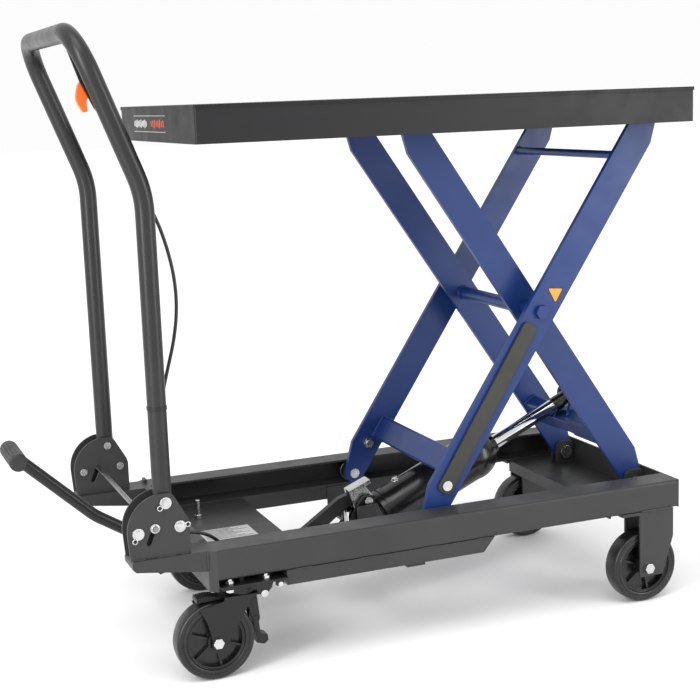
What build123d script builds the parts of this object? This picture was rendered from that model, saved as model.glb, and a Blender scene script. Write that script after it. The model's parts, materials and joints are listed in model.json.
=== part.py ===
from build123d import *
import os
from math import acos, asin, atan2, cos, degrees, hypot, pi, radians, sin, tan

os.makedirs("parts", exist_ok=True)

# A foot-pumped scissor lift table on four 140 mm wheels.  Every length is in millimetres.
# X runs from the push handle's end of the platform, Y from the centreline, and Z from the
# frame's datum, which is a little above the floor: the floor itself is at FLOOR.  All parts
# are moved at the end, so that the origin is on the floor under the middle of the object.

# ---- driving dimensions -----------------------------------------------------------------
PLATFORM_LENGTH = 950.0
PLATFORM_WIDTH = 520.0
PLATFORM_TOP = 970.0          # raised height
LIFT_STROKE = 620.0           # raised height less lowered height
TOP_SHEET = 6.5               # thickness of the platform's top
TOP_LIP = 1.5                 # the top stands this far outside the apron
APRON = 63.0                  # depth of the platform's edge
SHEET = 3.0
TRACK_WALL = 4.0

BASE_LENGTH = 921.0
RAIL_TOP = 230.0
RAIL_HEIGHT = 53.0
RAIL_WIDTH = 57.0
RAIL_WALL = 4.0
LOWER_RAIL_BOTTOM = 150.5
END_BEAM_DEPTH = 14.0
END_BEAM_CHAMFER = 10.0
END_BEAM_BOTTOM = 158.0
PEDAL_SLOT_HALF = 24.0        # the gate for the pedal in the end beam
PEDAL_SLOT_TOP = 182.0
DECK_TOP = 178.0
DECK_THICKNESS = 4.0
DECK_LIP = 20.0
BRACKET_TIP_X = -143.0        # the two short arms that carry the handle
BRACKET_OUTER_Y = 250.0
BRACKET_INNER_Y = 192.0

WHEEL_RADIUS = 70.0
WHEEL_CENTRE_Z = 64.5
TYRE_WIDTH = 38.0
HUB_RADIUS = 52.0
AXLE_RADIUS = 6.0
FIXED_WHEEL_X = 851.0
FIXED_WHEEL_Y = 232.0
FORK_BOTTOM = 48.0
FORK_PLATE = 4.5
CASTER_X = 48.0               # a swivel caster's king pin
CASTER_Y = 222.0
CASTER_TRAIL = 52.0
CASTER_PLATE_TOP = 167.0
CASTER_PLATE = 4.0
CASTER_BOLT_X = (21.0, 85.0)
CASTER_BOLT_ROWS = ((253.0, 9.5), (194.0, 6.8))  # Y, and height of the bolt over its plate
SWIVEL_TOP = 158.3
RACE_RADIUS = 27.0
FORK_LEG_Y = TYRE_WIDTH / 2 + 4.0
FORK_LEG = 3.5
BRAKE_PIVOT = (20.5, 92.0)    # from the king pin, in the caster's own plane
BRAKE_PIN_RADIUS = 5.0

FIXED_PIVOT_X = 896.0         # the arms' fixed pivots, at the end away from the handle
ROLLER_X = 428.0              # the arms' roller ends, when raised
LOWER_PIVOT_Z = 203.5
UPPER_PIVOT_Z = 935.5
ARM_THICKNESS = 10.0
ARM_END_RADIUS = 20.0
ARM_SHOULDER = 38.0           # the arm's outer edge, from the line through its pivots
SHOULDER_START = 55.0         # where that edge starts, along the arm
OUTER_ARM_Y = 188.0           # middle of an outer arm, from the centreline
INNER_ARM_Y = 135.0
PIN_RADIUS = 10.0
ROLLER_RADIUS = 22.2
ROLLER_WIDTH = 26.0
ROLLER_GAP = 4.0
LOWER_ROLLER_GAP = 16.0
PROP_LENGTH = 322.0
PROP_GAP = 0.5
PROP_HALF = 14.5
PROP_THICKNESS = 5.0
PROP_BOLT_RADIUS = 6.0

HANDLE_PIVOT_X = -80.0
HANDLE_PIVOT_Z = 322.0
HANDLE_Y = 224.0
HANDLE_RADIUS = 16.0
HANDLE_WALL = 2.5
HANDLE_BEND_Z = 832.0
HANDLE_TOP_X = -178.0
HANDLE_TOP_Z = 1090.0
HANDLE_CORNER = 70.0          # bend radius of the tube's two upper corners
HANDLE_BEND = 170.0           # bend radius where the legs start to lean
HANDLE_FOOT = 52.0            # the tube ends this far under its pivot
HINGE_GAP = 33.0              # between the two plates of a hinge pair
HINGE_PLATE = 4.0
HINGE_TOP_Z = 338.0
STOP_PIN_RADIUS = 6.0
FRONT_STOP = (-57.5, 279.0)
REAR_STOP = (-129.0, 275.0)
LOCK_ROD_RADIUS = 4.0
LOCK_ROD_Z = 281.0
LOCK_TRAVEL = 27.0
LOCK_ANGLE = 246.0            # direction in which the rod slides out of the way, from +X
LOCK_ROD_OVERHANG = 7.0
LEVER_PIN_RADIUS = 4.0

PAD_X = -287.0
PAD_Z = 374.0
PAD_RADIUS = 16.0
PAD_HALF = 58.0
PAD_CORE_RADIUS = 10.0
PEDAL_PIVOT_X = 372.0
PEDAL_PIVOT_Z = 205.0
PEDAL_PIN_RADIUS = 5.0
PEDAL_TUBE_RADIUS = 11.0
PEDAL_ROUTE = [(PAD_X, PAD_Z), (-152, 246), (-20, 163), (60, 150), (232, 150)]
PEDAL_BENDS = [110, 130, 300]

CYLINDER_PIVOT_X = 385.0
CYLINDER_PIVOT_Z = 157.0
ROD_EYE_X = 838.0
ROD_EYE_Z = 360.0
BEAM_TOP = 131.0              # the cross beam under the hydraulic unit
BEAM_THICKNESS = 6.0
CHEEK_Y = 31.0                # inner face of a cheek that carries the cylinder
CHEEK = 6.0
TRUNNION_RADIUS = 8.0
TANK_RADIUS = 45.0            # along the cylinder, from its pivot:
TANK_START = 26.0
TANK_END = 232.0
DOME_END = 290.0
GLAND_END = 299.0
GLAND_RADIUS = 18.0
BORE_RADIUS = 20.0
BORE_START = 36.0
BORE_END = 284.0
CHROME_RADIUS = 14.0
ROD_START = 172.0
SOCKET_LENGTH = 49.5
SOCKET_RADIUS = 15.5
EYE_RADIUS = 17.0
PLUNGER_X = 339.0
PLUNGER_RADIUS = 8.0
PLUNGER_TOP = 183.0
PUMP_TOP = 160.0

CABLE_RADIUS = 3.0
CABLE_END = (308.5, -19.0, 153.0)

FIT = 0.05                    # radial clearance of a running fit

# ---- worked out from the above ----------------------------------------------------------
FLOOR = WHEEL_CENTRE_Z - WHEEL_RADIUS
HALF_WIDTH = PLATFORM_WIDTH / 2
UNDERSIDE = PLATFORM_TOP - TOP_SHEET
APRON_BOTTOM = PLATFORM_TOP - APRON
RAIL_BOTTOM = RAIL_TOP - RAIL_HEIGHT
RAIL_INNER_Y = HALF_WIDTH - RAIL_WIDTH
FORK_TOP = RAIL_BOTTOM
ARM_DX = FIXED_PIVOT_X - ROLLER_X
ARM_DZ = UPPER_PIVOT_Z - LOWER_PIVOT_Z
ARM_LENGTH = hypot(ARM_DX, ARM_DZ)
ARM_ANGLE = degrees(atan2(ARM_DZ, ARM_DX))
LOWERED_ANGLE = degrees(asin((ARM_DZ - LIFT_STROKE) / ARM_LENGTH))
OUTER_DIRECTION = ARM_ANGLE
INNER_DIRECTION = 180 - ARM_ANGLE
CENTRE_X = (FIXED_PIVOT_X + ROLLER_X) / 2
CENTRE_Z = (LOWER_PIVOT_Z + UPPER_PIVOT_Z) / 2
LOWER_ROLLER_Y = OUTER_ARM_Y + ARM_THICKNESS / 2 + LOWER_ROLLER_GAP
TRACK_OUTER_Y = INNER_ARM_Y + ARM_THICKNESS / 2 + ROLLER_GAP + ROLLER_WIDTH + 7.0
CYLINDER_ANGLE = degrees(atan2(ROD_EYE_Z - CYLINDER_PIVOT_Z, ROD_EYE_X - CYLINDER_PIVOT_X))
CYLINDER_REACH = hypot(ROD_EYE_X - CYLINDER_PIVOT_X, ROD_EYE_Z - CYLINDER_PIVOT_Z)
ROD_END = CYLINDER_REACH - SOCKET_LENGTH
LEAN = atan2(HANDLE_PIVOT_X - HANDLE_TOP_X, HANDLE_TOP_Z - HANDLE_BEND_Z)
HINGE_OUTER_Y = HANDLE_Y + HINGE_GAP / 2 + HINGE_PLATE
HINGE_INNER_Y = HANDLE_Y - HINGE_GAP / 2 - HINGE_PLATE
LOCK_ROD_X = HANDLE_PIVOT_X - HANDLE_RADIUS - LOCK_ROD_RADIUS - 0.3
LEVER_FACE_Y = -HANDLE_Y + 17.0
CABLE_Y = -HANDLE_Y + 23.0
FRAME_SHIFT = (PLATFORM_LENGTH + PAD_X - PAD_RADIUS) / 2


# ---- helpers ----------------------------------------------------------------------------
def save(name, *solids):
    """Writes one node, moved so that the origin is on the floor under the middle."""
    shape = solids[0] if len(solids) == 1 else Compound(children=list(solids))
    export_step(Pos(-FRAME_SHIFT, 0, -FLOOR) * shape, f"parts/{name}.step")


def block(x0, x1, y0, y1, z0, z1):
    centre = Pos((x0 + x1) / 2, (y0 + y1) / 2, (z0 + z1) / 2)
    return centre * Box(x1 - x0, y1 - y0, z1 - z0)


def standing(sketch, y0, y1):
    """A sketch drawn in (x, z), made into a plate that stands from y0 to y1."""
    return extrude(Plane.XZ.offset(-y1) * sketch, amount=y1 - y0, dir=(0, -1, 0))


def plate_xz(outline, y0, y1):
    """A flat plate: an outline of (x, z) points, standing from y0 to y1."""
    return standing(Polygon(*outline, align=None), y0, y1)


def plate_xy(outline, z0, z1):
    return extrude(Plane.XY.offset(z0) * Polygon(*outline, align=None), amount=z1 - z0, dir=(0, 0, 1))


def bar_y(x, z, radius, y0, y1):
    """A round bar along Y."""
    return Pos(x, (y0 + y1) / 2, z) * Rot(90, 0, 0) * Cylinder(radius, y1 - y0)


def bar_z(x, y, radius, z0, z1):
    return Pos(x, y, (z0 + z1) / 2) * Cylinder(radius, z1 - z0)


def hexagon_y(x, z, across_flats, y0, y1):
    """A hexagonal bolt head or nut with its axis along Y."""
    return standing(Pos(x, z) * RegularPolygon(across_flats / 2, 6, major_radius=False), y0, y1)


def hexagon_z(x, y, across_flats, z0, z1):
    face = RegularPolygon(across_flats / 2, 6, major_radius=False)
    return extrude(Plane.XY.offset(z0) * Pos(x, y) * face, amount=z1 - z0)


def far(shape):
    """The same piece on the far side of the centreline."""
    return mirror(shape, about=Plane.XZ)


def tangent_point(centre, radius, point, side):
    """Where the line from a point touches a circle, on the side named by +1 or -1."""
    dx = point[0] - centre[0]
    dy = point[1] - centre[1]
    angle = atan2(dy, dx) + side * acos(radius / hypot(dx, dy))
    return (centre[0] + radius * cos(angle), centre[1] + radius * sin(angle))


# ---- base frame -------------------------------------------------------------------------
def rail():
    """The near side rail: a channel open towards the centreline, which guides a roller."""
    channel = block(0, BASE_LENGTH - 4, -HALF_WIDTH, -RAIL_INNER_Y, RAIL_BOTTOM, RAIL_TOP)
    outer_edges = channel.edges().filter_by(Axis.X).sort_by(Axis.Y)[:2]
    channel = fillet(outer_edges, 5)
    inside = block(
        -1,
        BASE_LENGTH,
        -HALF_WIDTH + RAIL_WALL,
        -RAIL_INNER_Y + 1,
        RAIL_BOTTOM + RAIL_WALL,
        RAIL_TOP - RAIL_WALL,
    )
    return channel - inside


def lower_rail():
    """The trough that stiffens the rail's middle, with its end cut on a slant."""
    start = 122.0
    end = 523.0
    slant = 23.0
    outline = [
        (start, RAIL_BOTTOM),
        (start, LOWER_RAIL_BOTTOM),
        (end - slant, LOWER_RAIL_BOTTOM),
        (end, RAIL_BOTTOM),
    ]
    outside = plate_xz(outline, -HALF_WIDTH + 0.8, -RAIL_INNER_Y)
    inside = [
        (start + SHEET, RAIL_BOTTOM + 1),
        (start + SHEET, LOWER_RAIL_BOTTOM + SHEET),
        (end - slant - SHEET, LOWER_RAIL_BOTTOM + SHEET),
        (end - SHEET, RAIL_BOTTOM + 1),
    ]
    return outside - plate_xz(inside, -HALF_WIDTH + 0.8 + SHEET, -RAIL_INNER_Y - SHEET)


def handle_end_beam():
    """Folded cross beam under the handle, with a gate for the pedal and a roller stop tab."""
    outline = [
        (0, -HALF_WIDTH),
        (-END_BEAM_DEPTH, -HALF_WIDTH + END_BEAM_CHAMFER),
        (-END_BEAM_DEPTH, HALF_WIDTH - END_BEAM_CHAMFER),
        (0, HALF_WIDTH),
    ]
    beam = plate_xy(outline, END_BEAM_BOTTOM, RAIL_TOP)
    hollow_y = HALF_WIDTH - END_BEAM_CHAMFER - RAIL_WALL
    hollow = block(
        -END_BEAM_DEPTH + RAIL_WALL,
        1,
        -hollow_y,
        hollow_y,
        END_BEAM_BOTTOM + RAIL_WALL,
        RAIL_TOP - RAIL_WALL,
    )
    gate = block(
        -END_BEAM_DEPTH - 1,
        1,
        -PEDAL_SLOT_HALF,
        PEDAL_SLOT_HALF,
        END_BEAM_BOTTOM - 1,
        PEDAL_SLOT_TOP,
    )
    tab = block(-6, 0, HALF_WIDTH - 32, HALF_WIDTH - 12, RAIL_TOP, RAIL_TOP + 7)
    return beam - hollow - gate + tab


def far_end_beam():
    """End plate away from the handle, rounded where it meets the rails."""
    plate = block(
        BASE_LENGTH - 4, BASE_LENGTH, -HALF_WIDTH, HALF_WIDTH, RAIL_BOTTOM, RAIL_TOP
    )
    corners = plate.edges().filter_by(Axis.Z).group_by(Axis.X)[-1]
    return fillet(corners, 3.5)


def deck_plates():
    """The two floor plates that tie the rails together; one has a lip folded down."""
    bottom = DECK_TOP - DECK_THICKNESS
    lip_x = 800
    handle_end = block(0, 188, -RAIL_INNER_Y, RAIL_INNER_Y, bottom, DECK_TOP)
    pivot_end = block(lip_x, BASE_LENGTH - 4, -RAIL_INNER_Y, RAIL_INNER_Y, bottom, DECK_TOP)
    pivot_end += block(
        lip_x, lip_x + DECK_THICKNESS, -RAIL_INNER_Y, RAIL_INNER_Y, bottom - DECK_LIP, DECK_TOP
    )
    return [handle_end, pivot_end]


def handle_bracket():
    """The near arm that carries the handle: a tapered trough, open below."""
    root = -END_BEAM_DEPTH
    outline = [
        (root, RAIL_TOP),
        (BRACKET_TIP_X + 3, RAIL_TOP),
        (BRACKET_TIP_X, RAIL_TOP - 4),
        (BRACKET_TIP_X, RAIL_TOP - 13),
        (BRACKET_TIP_X + 6, RAIL_TOP - 19),
        (root, RAIL_TOP - 36),
    ]
    solid = plate_xz(outline, -BRACKET_OUTER_Y, -BRACKET_INNER_Y)
    hollow = block(
        BRACKET_TIP_X + RAIL_WALL,
        root + 1,
        -BRACKET_OUTER_Y + RAIL_WALL,
        -BRACKET_INNER_Y - RAIL_WALL,
        RAIL_TOP - 60,
        RAIL_TOP - RAIL_WALL,
    )
    return solid - hollow


def lock_slot_end():
    a = radians(LOCK_ANGLE)
    return LOCK_ROD_X + LOCK_TRAVEL * cos(a), LOCK_ROD_Z + LOCK_TRAVEL * sin(a)


def hinge_plate(y0, y1):
    """One hinge plate: a flat top, an arc behind, and a slant towards the platform."""
    bottom_left = (-144.0, RAIL_TOP)
    with BuildSketch() as outline:
        with BuildLine():
            Polyline((-96.0, HINGE_TOP_Z), (-70.0, HINGE_TOP_Z), (-64.0, 330.0), (-43.0, 292.0))
            Polyline((-43.0, 292.0), (-41.0, 284.0), (-41.0, RAIL_TOP), bottom_left)
            Line(bottom_left, (-147.0, 272.0))
            ThreePointArc((-147.0, 272.0), (-131.0, 318.0), (-96.0, HINGE_TOP_Z))
        make_face()
    plate = standing(outline.sketch, y0, y1)
    for x, z in ((HANDLE_PIVOT_X, HANDLE_PIVOT_Z), FRONT_STOP, REAR_STOP):
        plate -= bar_y(x, z, STOP_PIN_RADIUS + FIT, y0 - 1, y1 + 1)
    end_x, end_z = lock_slot_end()
    slot_width = 2 * LOCK_ROD_RADIUS + 1.0
    slot = SlotCenterToCenter(LOCK_TRAVEL, slot_width, rotation=LOCK_ANGLE)
    middle = Pos((LOCK_ROD_X + end_x) / 2, (LOCK_ROD_Z + end_z) / 2)
    return plate - standing(middle * slot, y0 - 1, y1 + 1)


def hinge_pair():
    """The two plates of the near hinge."""
    outer = hinge_plate(-HINGE_OUTER_Y, -HINGE_OUTER_Y + HINGE_PLATE)
    inner = hinge_plate(-HINGE_INNER_Y - HINGE_PLATE, -HINGE_INNER_Y)
    return [outer, inner]


def split_pin(x, z, y, angle):
    """A cotter: a ring outside the pin's end and a straight shank through it."""
    ring = Torus(4.0, 0.9)
    shank = Pos(-9.0, 0, 0) * Rot(0, 90, 0) * Cylinder(0.9, 10.4)
    return Pos(x, y, z) * Rot(90, 0, 0) * Rot(0, 0, angle) * Pos(13.0, 0, 0) * (ring + shank)


def clevis_pin(x, z, radius, y0, y1, angle):
    """A headed pin along Y: head at y0, washer and cotter outside y1."""
    out = 1 if y1 > y0 else -1
    pin = bar_y(x, z, radius, *sorted((y0, y1 + out * 6.0)))
    head = bar_y(x, z, radius + 1.0, *sorted((y0, y0 - out * 3.5)))
    washer = bar_y(x, z, radius + 4.0, *sorted((y1 + 0.05 * out, y1 + out * 2.0)))
    return pin + head + washer + split_pin(x, z, y1 + out * 3.6, angle)


def hinge_pins():
    """Handle pivots and stop pins, headed on the inside, cottered on the outside."""
    places = [(HANDLE_PIVOT_X, HANDLE_PIVOT_Z, 215), FRONT_STOP + (10,), REAR_STOP + (240,)]
    near = []
    for x, z, angle in places:
        near.append(clevis_pin(x, z, STOP_PIN_RADIUS, -HINGE_INNER_Y, -HINGE_OUTER_Y, angle))
    return near + [far(pin) for pin in near]


def lock_rod():
    """The cross rod that keeps the handle upright; it slides down its slots to free it."""
    end_y = HINGE_OUTER_Y + LOCK_ROD_OVERHANG
    return bar_y(LOCK_ROD_X, LOCK_ROD_Z, LOCK_ROD_RADIUS, -end_y, end_y)


def lock_rod_retainers():
    """Washer and spring ring at each end of the cross rod."""
    y = -HINGE_OUTER_Y - 0.5
    washer = bar_y(LOCK_ROD_X, LOCK_ROD_Z, LOCK_ROD_RADIUS + 4.0, y - 2.0, y)
    washer -= bar_y(LOCK_ROD_X, LOCK_ROD_Z, LOCK_ROD_RADIUS + 0.02, y - 3.0, y + 1.0)
    ring = Rot(90, 0, 0) * Torus(LOCK_ROD_RADIUS + 1.6, 1.0)
    ring = Pos(LOCK_ROD_X, y - 3.6, LOCK_ROD_Z) * ring
    return [washer, ring, far(washer), far(ring)]


def caster_plates():
    """On each side a frame plate under the rail and the swivel caster's own top plate."""
    bottom = CASTER_PLATE_TOP - CASTER_PLATE
    frame_plate = block(3, 121.5, -HALF_WIDTH - 6, -RAIL_INNER_Y + 20, bottom, CASTER_PLATE_TOP)
    frame_plate += block(40, 48, -246, -208, CASTER_PLATE_TOP, RAIL_BOTTOM)
    lugs = [
        [(60, bottom), (94, bottom), (91, 154), (76, 137), (66, 150)],
        [(99, bottom), (114, bottom), (114, 157), (108, 152), (99, 156)],
    ]
    for outline in lugs:
        frame_plate += plate_xz(outline, -HALF_WIDTH - 6, -HALF_WIDTH - 2)
    top_plate = block(5, 95, -HALF_WIDTH - 1, -184, bottom - 4.2, bottom - 0.2)
    for x in CASTER_BOLT_X:
        for y, stand_out in CASTER_BOLT_ROWS:
            hole = bar_z(x, -y, 4.3, bottom - 8, CASTER_PLATE_TOP + 1)
            frame_plate -= hole
            top_plate -= hole
    top_plate -= bar_z(CASTER_X, -CASTER_Y, 8.0 + FIT, bottom - 8, bottom)
    pieces = []
    for piece in (frame_plate, top_plate):
        pieces += [piece, far(piece)]
    return pieces


def base_fasteners():
    """Caster bolts with nuts, and the greased stud on the handle-end floor plate."""
    bottom = CASTER_PLATE_TOP - CASTER_PLATE - 4.2
    pieces = []
    for x in CASTER_BOLT_X:
        for y, stand_out in CASTER_BOLT_ROWS:
            bolt = bar_z(x, -y, 4.0, bottom, CASTER_PLATE_TOP + stand_out)
            bolt += hexagon_z(x, -y, 13, bottom - 5.5, bottom)
            bolt += hexagon_z(x, -y, 13, CASTER_PLATE_TOP, CASTER_PLATE_TOP + 6.5)
            pieces += [bolt, far(bolt)]
    for x, z, radius in ((77, 146, 6.5), (106.6, 158, 4.5)):
        lug_bolt = bar_y(x, z, radius, -HALF_WIDTH - 10, -HALF_WIDTH - 6)
        pieces += [lug_bolt, far(lug_bolt)]
    stud = bar_z(70, 112, 4.0, DECK_TOP, DECK_TOP + 36)
    stud += hexagon_z(70, 112, 13, DECK_TOP, DECK_TOP + 7)
    pieces.append(stud)
    return pieces


def fixed_fork():
    """The near rigid fork: two side plates, the outer one tapered, under a top plate."""
    outer_y = -HALF_WIDTH + 0.5
    inner_y = -FIXED_WHEEL_Y + TYRE_WIDTH / 2 + 5
    outline = [
        (833, FORK_TOP),
        (907, FORK_TOP),
        (907, 122),
        (884, FORK_BOTTOM),
        (833, FORK_BOTTOM),
    ]
    outer = plate_xz(outline, outer_y, outer_y + FORK_PLATE)
    inner = plate_xz(outline, inner_y, inner_y + FORK_PLATE)
    top = block(795, 907, outer_y, inner_y + FORK_PLATE, FORK_TOP - 6, FORK_TOP)
    axle = bar_y(FIXED_WHEEL_X, WHEEL_CENTRE_Z, AXLE_RADIUS + FIT, outer_y - 1, inner_y + 6)
    return outer + inner + top - axle


def base_pivot_lugs():
    """A lug on each side of the near inner arm's foot, standing on the floor plate."""
    lugs = []
    reach = ARM_THICKNESS / 2 + 1.0
    for y0 in (-INNER_ARM_Y - reach - 6, -INNER_ARM_Y + reach):
        lug = block(873, BASE_LENGTH - 4.5, y0, y0 + 6, DECK_TOP, 228)
        lug = fillet(lug.edges().filter_by(Axis.Y).group_by(Axis.Z)[-1], 12)
        lug -= bar_y(FIXED_PIVOT_X, LOWER_PIVOT_Z, PIN_RADIUS + FIT, y0 - 1, y0 + 7)
        lugs.append(lug)
    return lugs


def base_pins():
    """Arm pivots, wheel bolts of the rigid forks, and the two pins of the hydraulic unit."""
    pieces = []
    y0 = -INNER_ARM_Y - ARM_THICKNESS / 2 - 7.0
    y1 = -INNER_ARM_Y + ARM_THICKNESS / 2 + 7.0
    pivot = bar_y(FIXED_PIVOT_X, LOWER_PIVOT_Z, PIN_RADIUS, y0, y1 + 4)
    pivot += bar_y(FIXED_PIVOT_X, LOWER_PIVOT_Z, PIN_RADIUS + 4, y1 + 0.05, y1 + 4)
    pieces += [pivot, far(pivot)]
    outer_y = -HALF_WIDTH + 0.5
    inner_y = -FIXED_WHEEL_Y + TYRE_WIDTH / 2 + 5 + FORK_PLATE
    axle = bar_y(FIXED_WHEEL_X, WHEEL_CENTRE_Z, AXLE_RADIUS, outer_y, inner_y + 9)
    axle += hexagon_y(FIXED_WHEEL_X, WHEEL_CENTRE_Z, 18, outer_y - 7.5, outer_y)
    axle += hexagon_y(FIXED_WHEEL_X, WHEEL_CENTRE_Z, 18, inner_y, inner_y + 8)
    pieces += [axle, far(axle)]
    reach = CHEEK_Y + CHEEK + 4
    pieces.append(bar_y(CYLINDER_PIVOT_X, CYLINDER_PIVOT_Z, TRUNNION_RADIUS, -reach, reach))
    pedal_pin = bar_y(PEDAL_PIVOT_X, PEDAL_PIVOT_Z, PEDAL_PIN_RADIUS, -26, 26)
    pedal_pin += bar_y(PEDAL_PIVOT_X, PEDAL_PIVOT_Z, PEDAL_PIN_RADIUS + 3, -29, -26)
    pieces.append(pedal_pin)
    return pieces


def pump_crossbeam():
    """Cross beam under the hydraulic unit, wide in its middle, with the trunnion's cheeks."""
    x0 = CYLINDER_PIVOT_X - 67
    narrow_x = CYLINDER_PIVOT_X - 13
    x1 = CYLINDER_PIVOT_X + 23
    outline = [
        (x0, -60),
        (narrow_x, -72),
        (narrow_x, -RAIL_INNER_Y),
        (x1, -RAIL_INNER_Y),
        (x1, RAIL_INNER_Y),
        (narrow_x, RAIL_INNER_Y),
        (narrow_x, 72),
        (x0, 60),
    ]
    beam = plate_xy(outline, BEAM_TOP - BEAM_THICKNESS, BEAM_TOP)
    cheek_outline = [
        (x1 - 63, BEAM_TOP),
        (x1, BEAM_TOP),
        (x1, 150),
        (x1 - 22, 200),
        (x1 - 56, 199),
        (x1 - 63, 196),
    ]
    for side in (-1, 1):
        y0, y1 = sorted((side * RAIL_INNER_Y, side * (RAIL_INNER_Y - 4)))
        beam += block(narrow_x, x1, y0, y1, BEAM_TOP, RAIL_BOTTOM)
        beam += plate_xz(cheek_outline, *sorted((side * CHEEK_Y, side * (CHEEK_Y + CHEEK))))
    return beam - bar_y(CYLINDER_PIVOT_X, CYLINDER_PIVOT_Z, TRUNNION_RADIUS + FIT, -60, 60)


def on_cylinder(shape):
    """Turns a shape built along +X from the origin onto the cylinder's axis."""
    return Pos(CYLINDER_PIVOT_X, 0, CYLINDER_PIVOT_Z) * Rot(0, -CYLINDER_ANGLE, 0) * shape


def bar_along(radius, start, end):
    """A round bar along +X from the origin's line, before it is turned onto the cylinder."""
    return Pos((start + end) / 2, 0, 0) * Rot(0, 90, 0) * Cylinder(radius, end - start)


def cylinder_body():
    """Oil tank round the cylinder: two rings at its foot, a dome and a gland at its head."""
    ring = TANK_RADIUS + 2.0
    with BuildSketch(Plane.XZ) as half_section:
        with BuildLine():
            Polyline((DOME_END, 0), (TANK_START, 0), (TANK_START, ring), (TANK_START + 8, ring))
            Polyline((TANK_START + 8, ring), (TANK_START + 8, TANK_RADIUS - 1))
            Polyline((TANK_START + 8, TANK_RADIUS - 1), (TANK_START + 12, TANK_RADIUS - 1))
            Polyline((TANK_START + 12, TANK_RADIUS - 1), (TANK_START + 12, ring))
            Polyline((TANK_START + 12, ring), (TANK_START + 20, ring), (TANK_START + 20, TANK_RADIUS))
            Line((TANK_START + 20, TANK_RADIUS), (TANK_END, TANK_RADIUS))
            ThreePointArc((TANK_END, TANK_RADIUS), (TANK_END + 39, 40.5), (DOME_END - 4, 30))
            Polyline((DOME_END - 4, 30), (DOME_END, 22), (DOME_END, 0))
        make_face()
    body = revolve(half_section.sketch, axis=Axis.X)
    body += bar_along(GLAND_RADIUS, DOME_END, GLAND_END)
    body -= bar_along(BORE_RADIUS, BORE_START, BORE_END)
    body -= bar_along(CHROME_RADIUS + FIT, BORE_END, GLAND_END + 1)
    knuckle_start = -12.0
    knuckle_end = TANK_START + 2
    knuckle = Box(knuckle_end - knuckle_start, 2 * CHEEK_Y - 2, 36)
    body += Pos((knuckle_start + knuckle_end) / 2, 0, 0) * knuckle
    bore = bar_y(CYLINDER_PIVOT_X, CYLINDER_PIVOT_Z, TRUNNION_RADIUS + FIT, -60, 60)
    return on_cylinder(body) - bore


def piston_rod():
    """Chromed rod with its piston inside the bore."""
    rod = bar_along(CHROME_RADIUS, ROD_START, ROD_END)
    return on_cylinder(rod + bar_along(BORE_RADIUS - FIT, ROD_START, ROD_START + 16))


def rod_eye():
    """Black end of the rod: a socket, an eye, and the pin that bears on the arms' lugs."""
    socket = bar_along(SOCKET_RADIUS, ROD_END, CYLINDER_REACH)
    eye = Pos(CYLINDER_REACH, 0, 0) * Rot(90, 0, 0) * Cylinder(EYE_RADIUS, 30)
    pin = Pos(CYLINDER_REACH, 0, 0) * Rot(90, 0, 0) * Cylinder(8, 40)
    return on_cylinder(socket + eye + pin)


def pump_block():
    """Pump housing on the cross beam, with ears for the pedal and a bore for the plunger."""
    body_outline = [(322, BEAM_TOP), (360, BEAM_TOP), (360, PUMP_TOP), (333, PUMP_TOP), (322, 147)]
    ear_outline = [
        (334, PUMP_TOP),
        (354, PUMP_TOP),
        (358, 171),
        (382, 198),
        (382, 214),
        (362, 214),
        (344, 190),
        (334, 170),
    ]
    body = plate_xz(body_outline, -26, 26)
    for side in (-1, 1):
        body += plate_xz(ear_outline, *sorted((side * 17, side * 24)))
    body -= bar_y(PEDAL_PIVOT_X, PEDAL_PIVOT_Z, PEDAL_PIN_RADIUS + FIT, -30, 30)
    gland = Pos(319, CABLE_END[1], CABLE_END[2]) * Rot(0, 90, 0) * Cylinder(5, 18)
    return body + gland - bar_z(PLUNGER_X, 0, PLUNGER_RADIUS + FIT, BEAM_TOP + 2, PUMP_TOP + 1)


def pump_plunger():
    """Spring-returned pump plunger under the pedal."""
    return bar_z(PLUNGER_X, 0, PLUNGER_RADIUS, 148, PLUNGER_TOP)


# ---- foot pedal -------------------------------------------------------------------------


def pedal_bar():
    points = [(x, 0, z) for x, z in PEDAL_ROUTE]
    path = FilletPolyline(*points, radius=PEDAL_BENDS)
    start = Plane(origin=path @ 0, z_dir=path % 0)
    return sweep(start * Circle(PEDAL_TUBE_RADIUS), path=path)


def pedal_arm():
    """Bent round bar from the pad to under the floor plate, then a flat lever to the pump."""
    core = PAD_HALF - 3
    bar = pedal_bar() + bar_y(PAD_X, PAD_Z, PAD_CORE_RADIUS, -core, core)
    outline = [
        (205, 141),
        (262, 141),
        (326, 187),
        (352, 199),
        (362, 197),
        (350, 222),
        (318, 212),
        (240, 160),
        (205, 160),
    ]
    return bar + plate_xz(outline, -7, 7)


def pedal_clevis():
    """Zinc-plated strap bent round the lever's end, with two cheeks on the pivot pin."""
    strap = [
        (384, 237),
        (381, 244),
        (337, 226),
        (350, 186),
        (357, 189),
        (345, 221),
    ]
    cheek = [(346, 221), (372, 231), (386, 212), (382, 196), (356, 190)]
    clevis = plate_xz(strap, -14, 14)
    for side in (-1, 1):
        clevis += plate_xz(cheek, *sorted((side * 10.5, side * 14)))
    clevis -= plate_xz([(320, 180), (362, 186), (366, 222), (345, 221), (330, 230)], -7.3, 7.3)
    return clevis - bar_y(PEDAL_PIVOT_X, PEDAL_PIVOT_Z, PEDAL_PIN_RADIUS + FIT, -30, 30)


def pedal_pad():
    """Rubber sleeve on the pedal's cross bar."""
    core = PAD_HALF - 3
    pad = bar_y(PAD_X, PAD_Z, PAD_RADIUS, -PAD_HALF, PAD_HALF)
    pad = fillet(pad.edges().filter_by(GeomType.CIRCLE), 3)
    return pad - bar_y(PAD_X, PAD_Z, PAD_CORE_RADIUS, -core, core) - pedal_bar()


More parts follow.
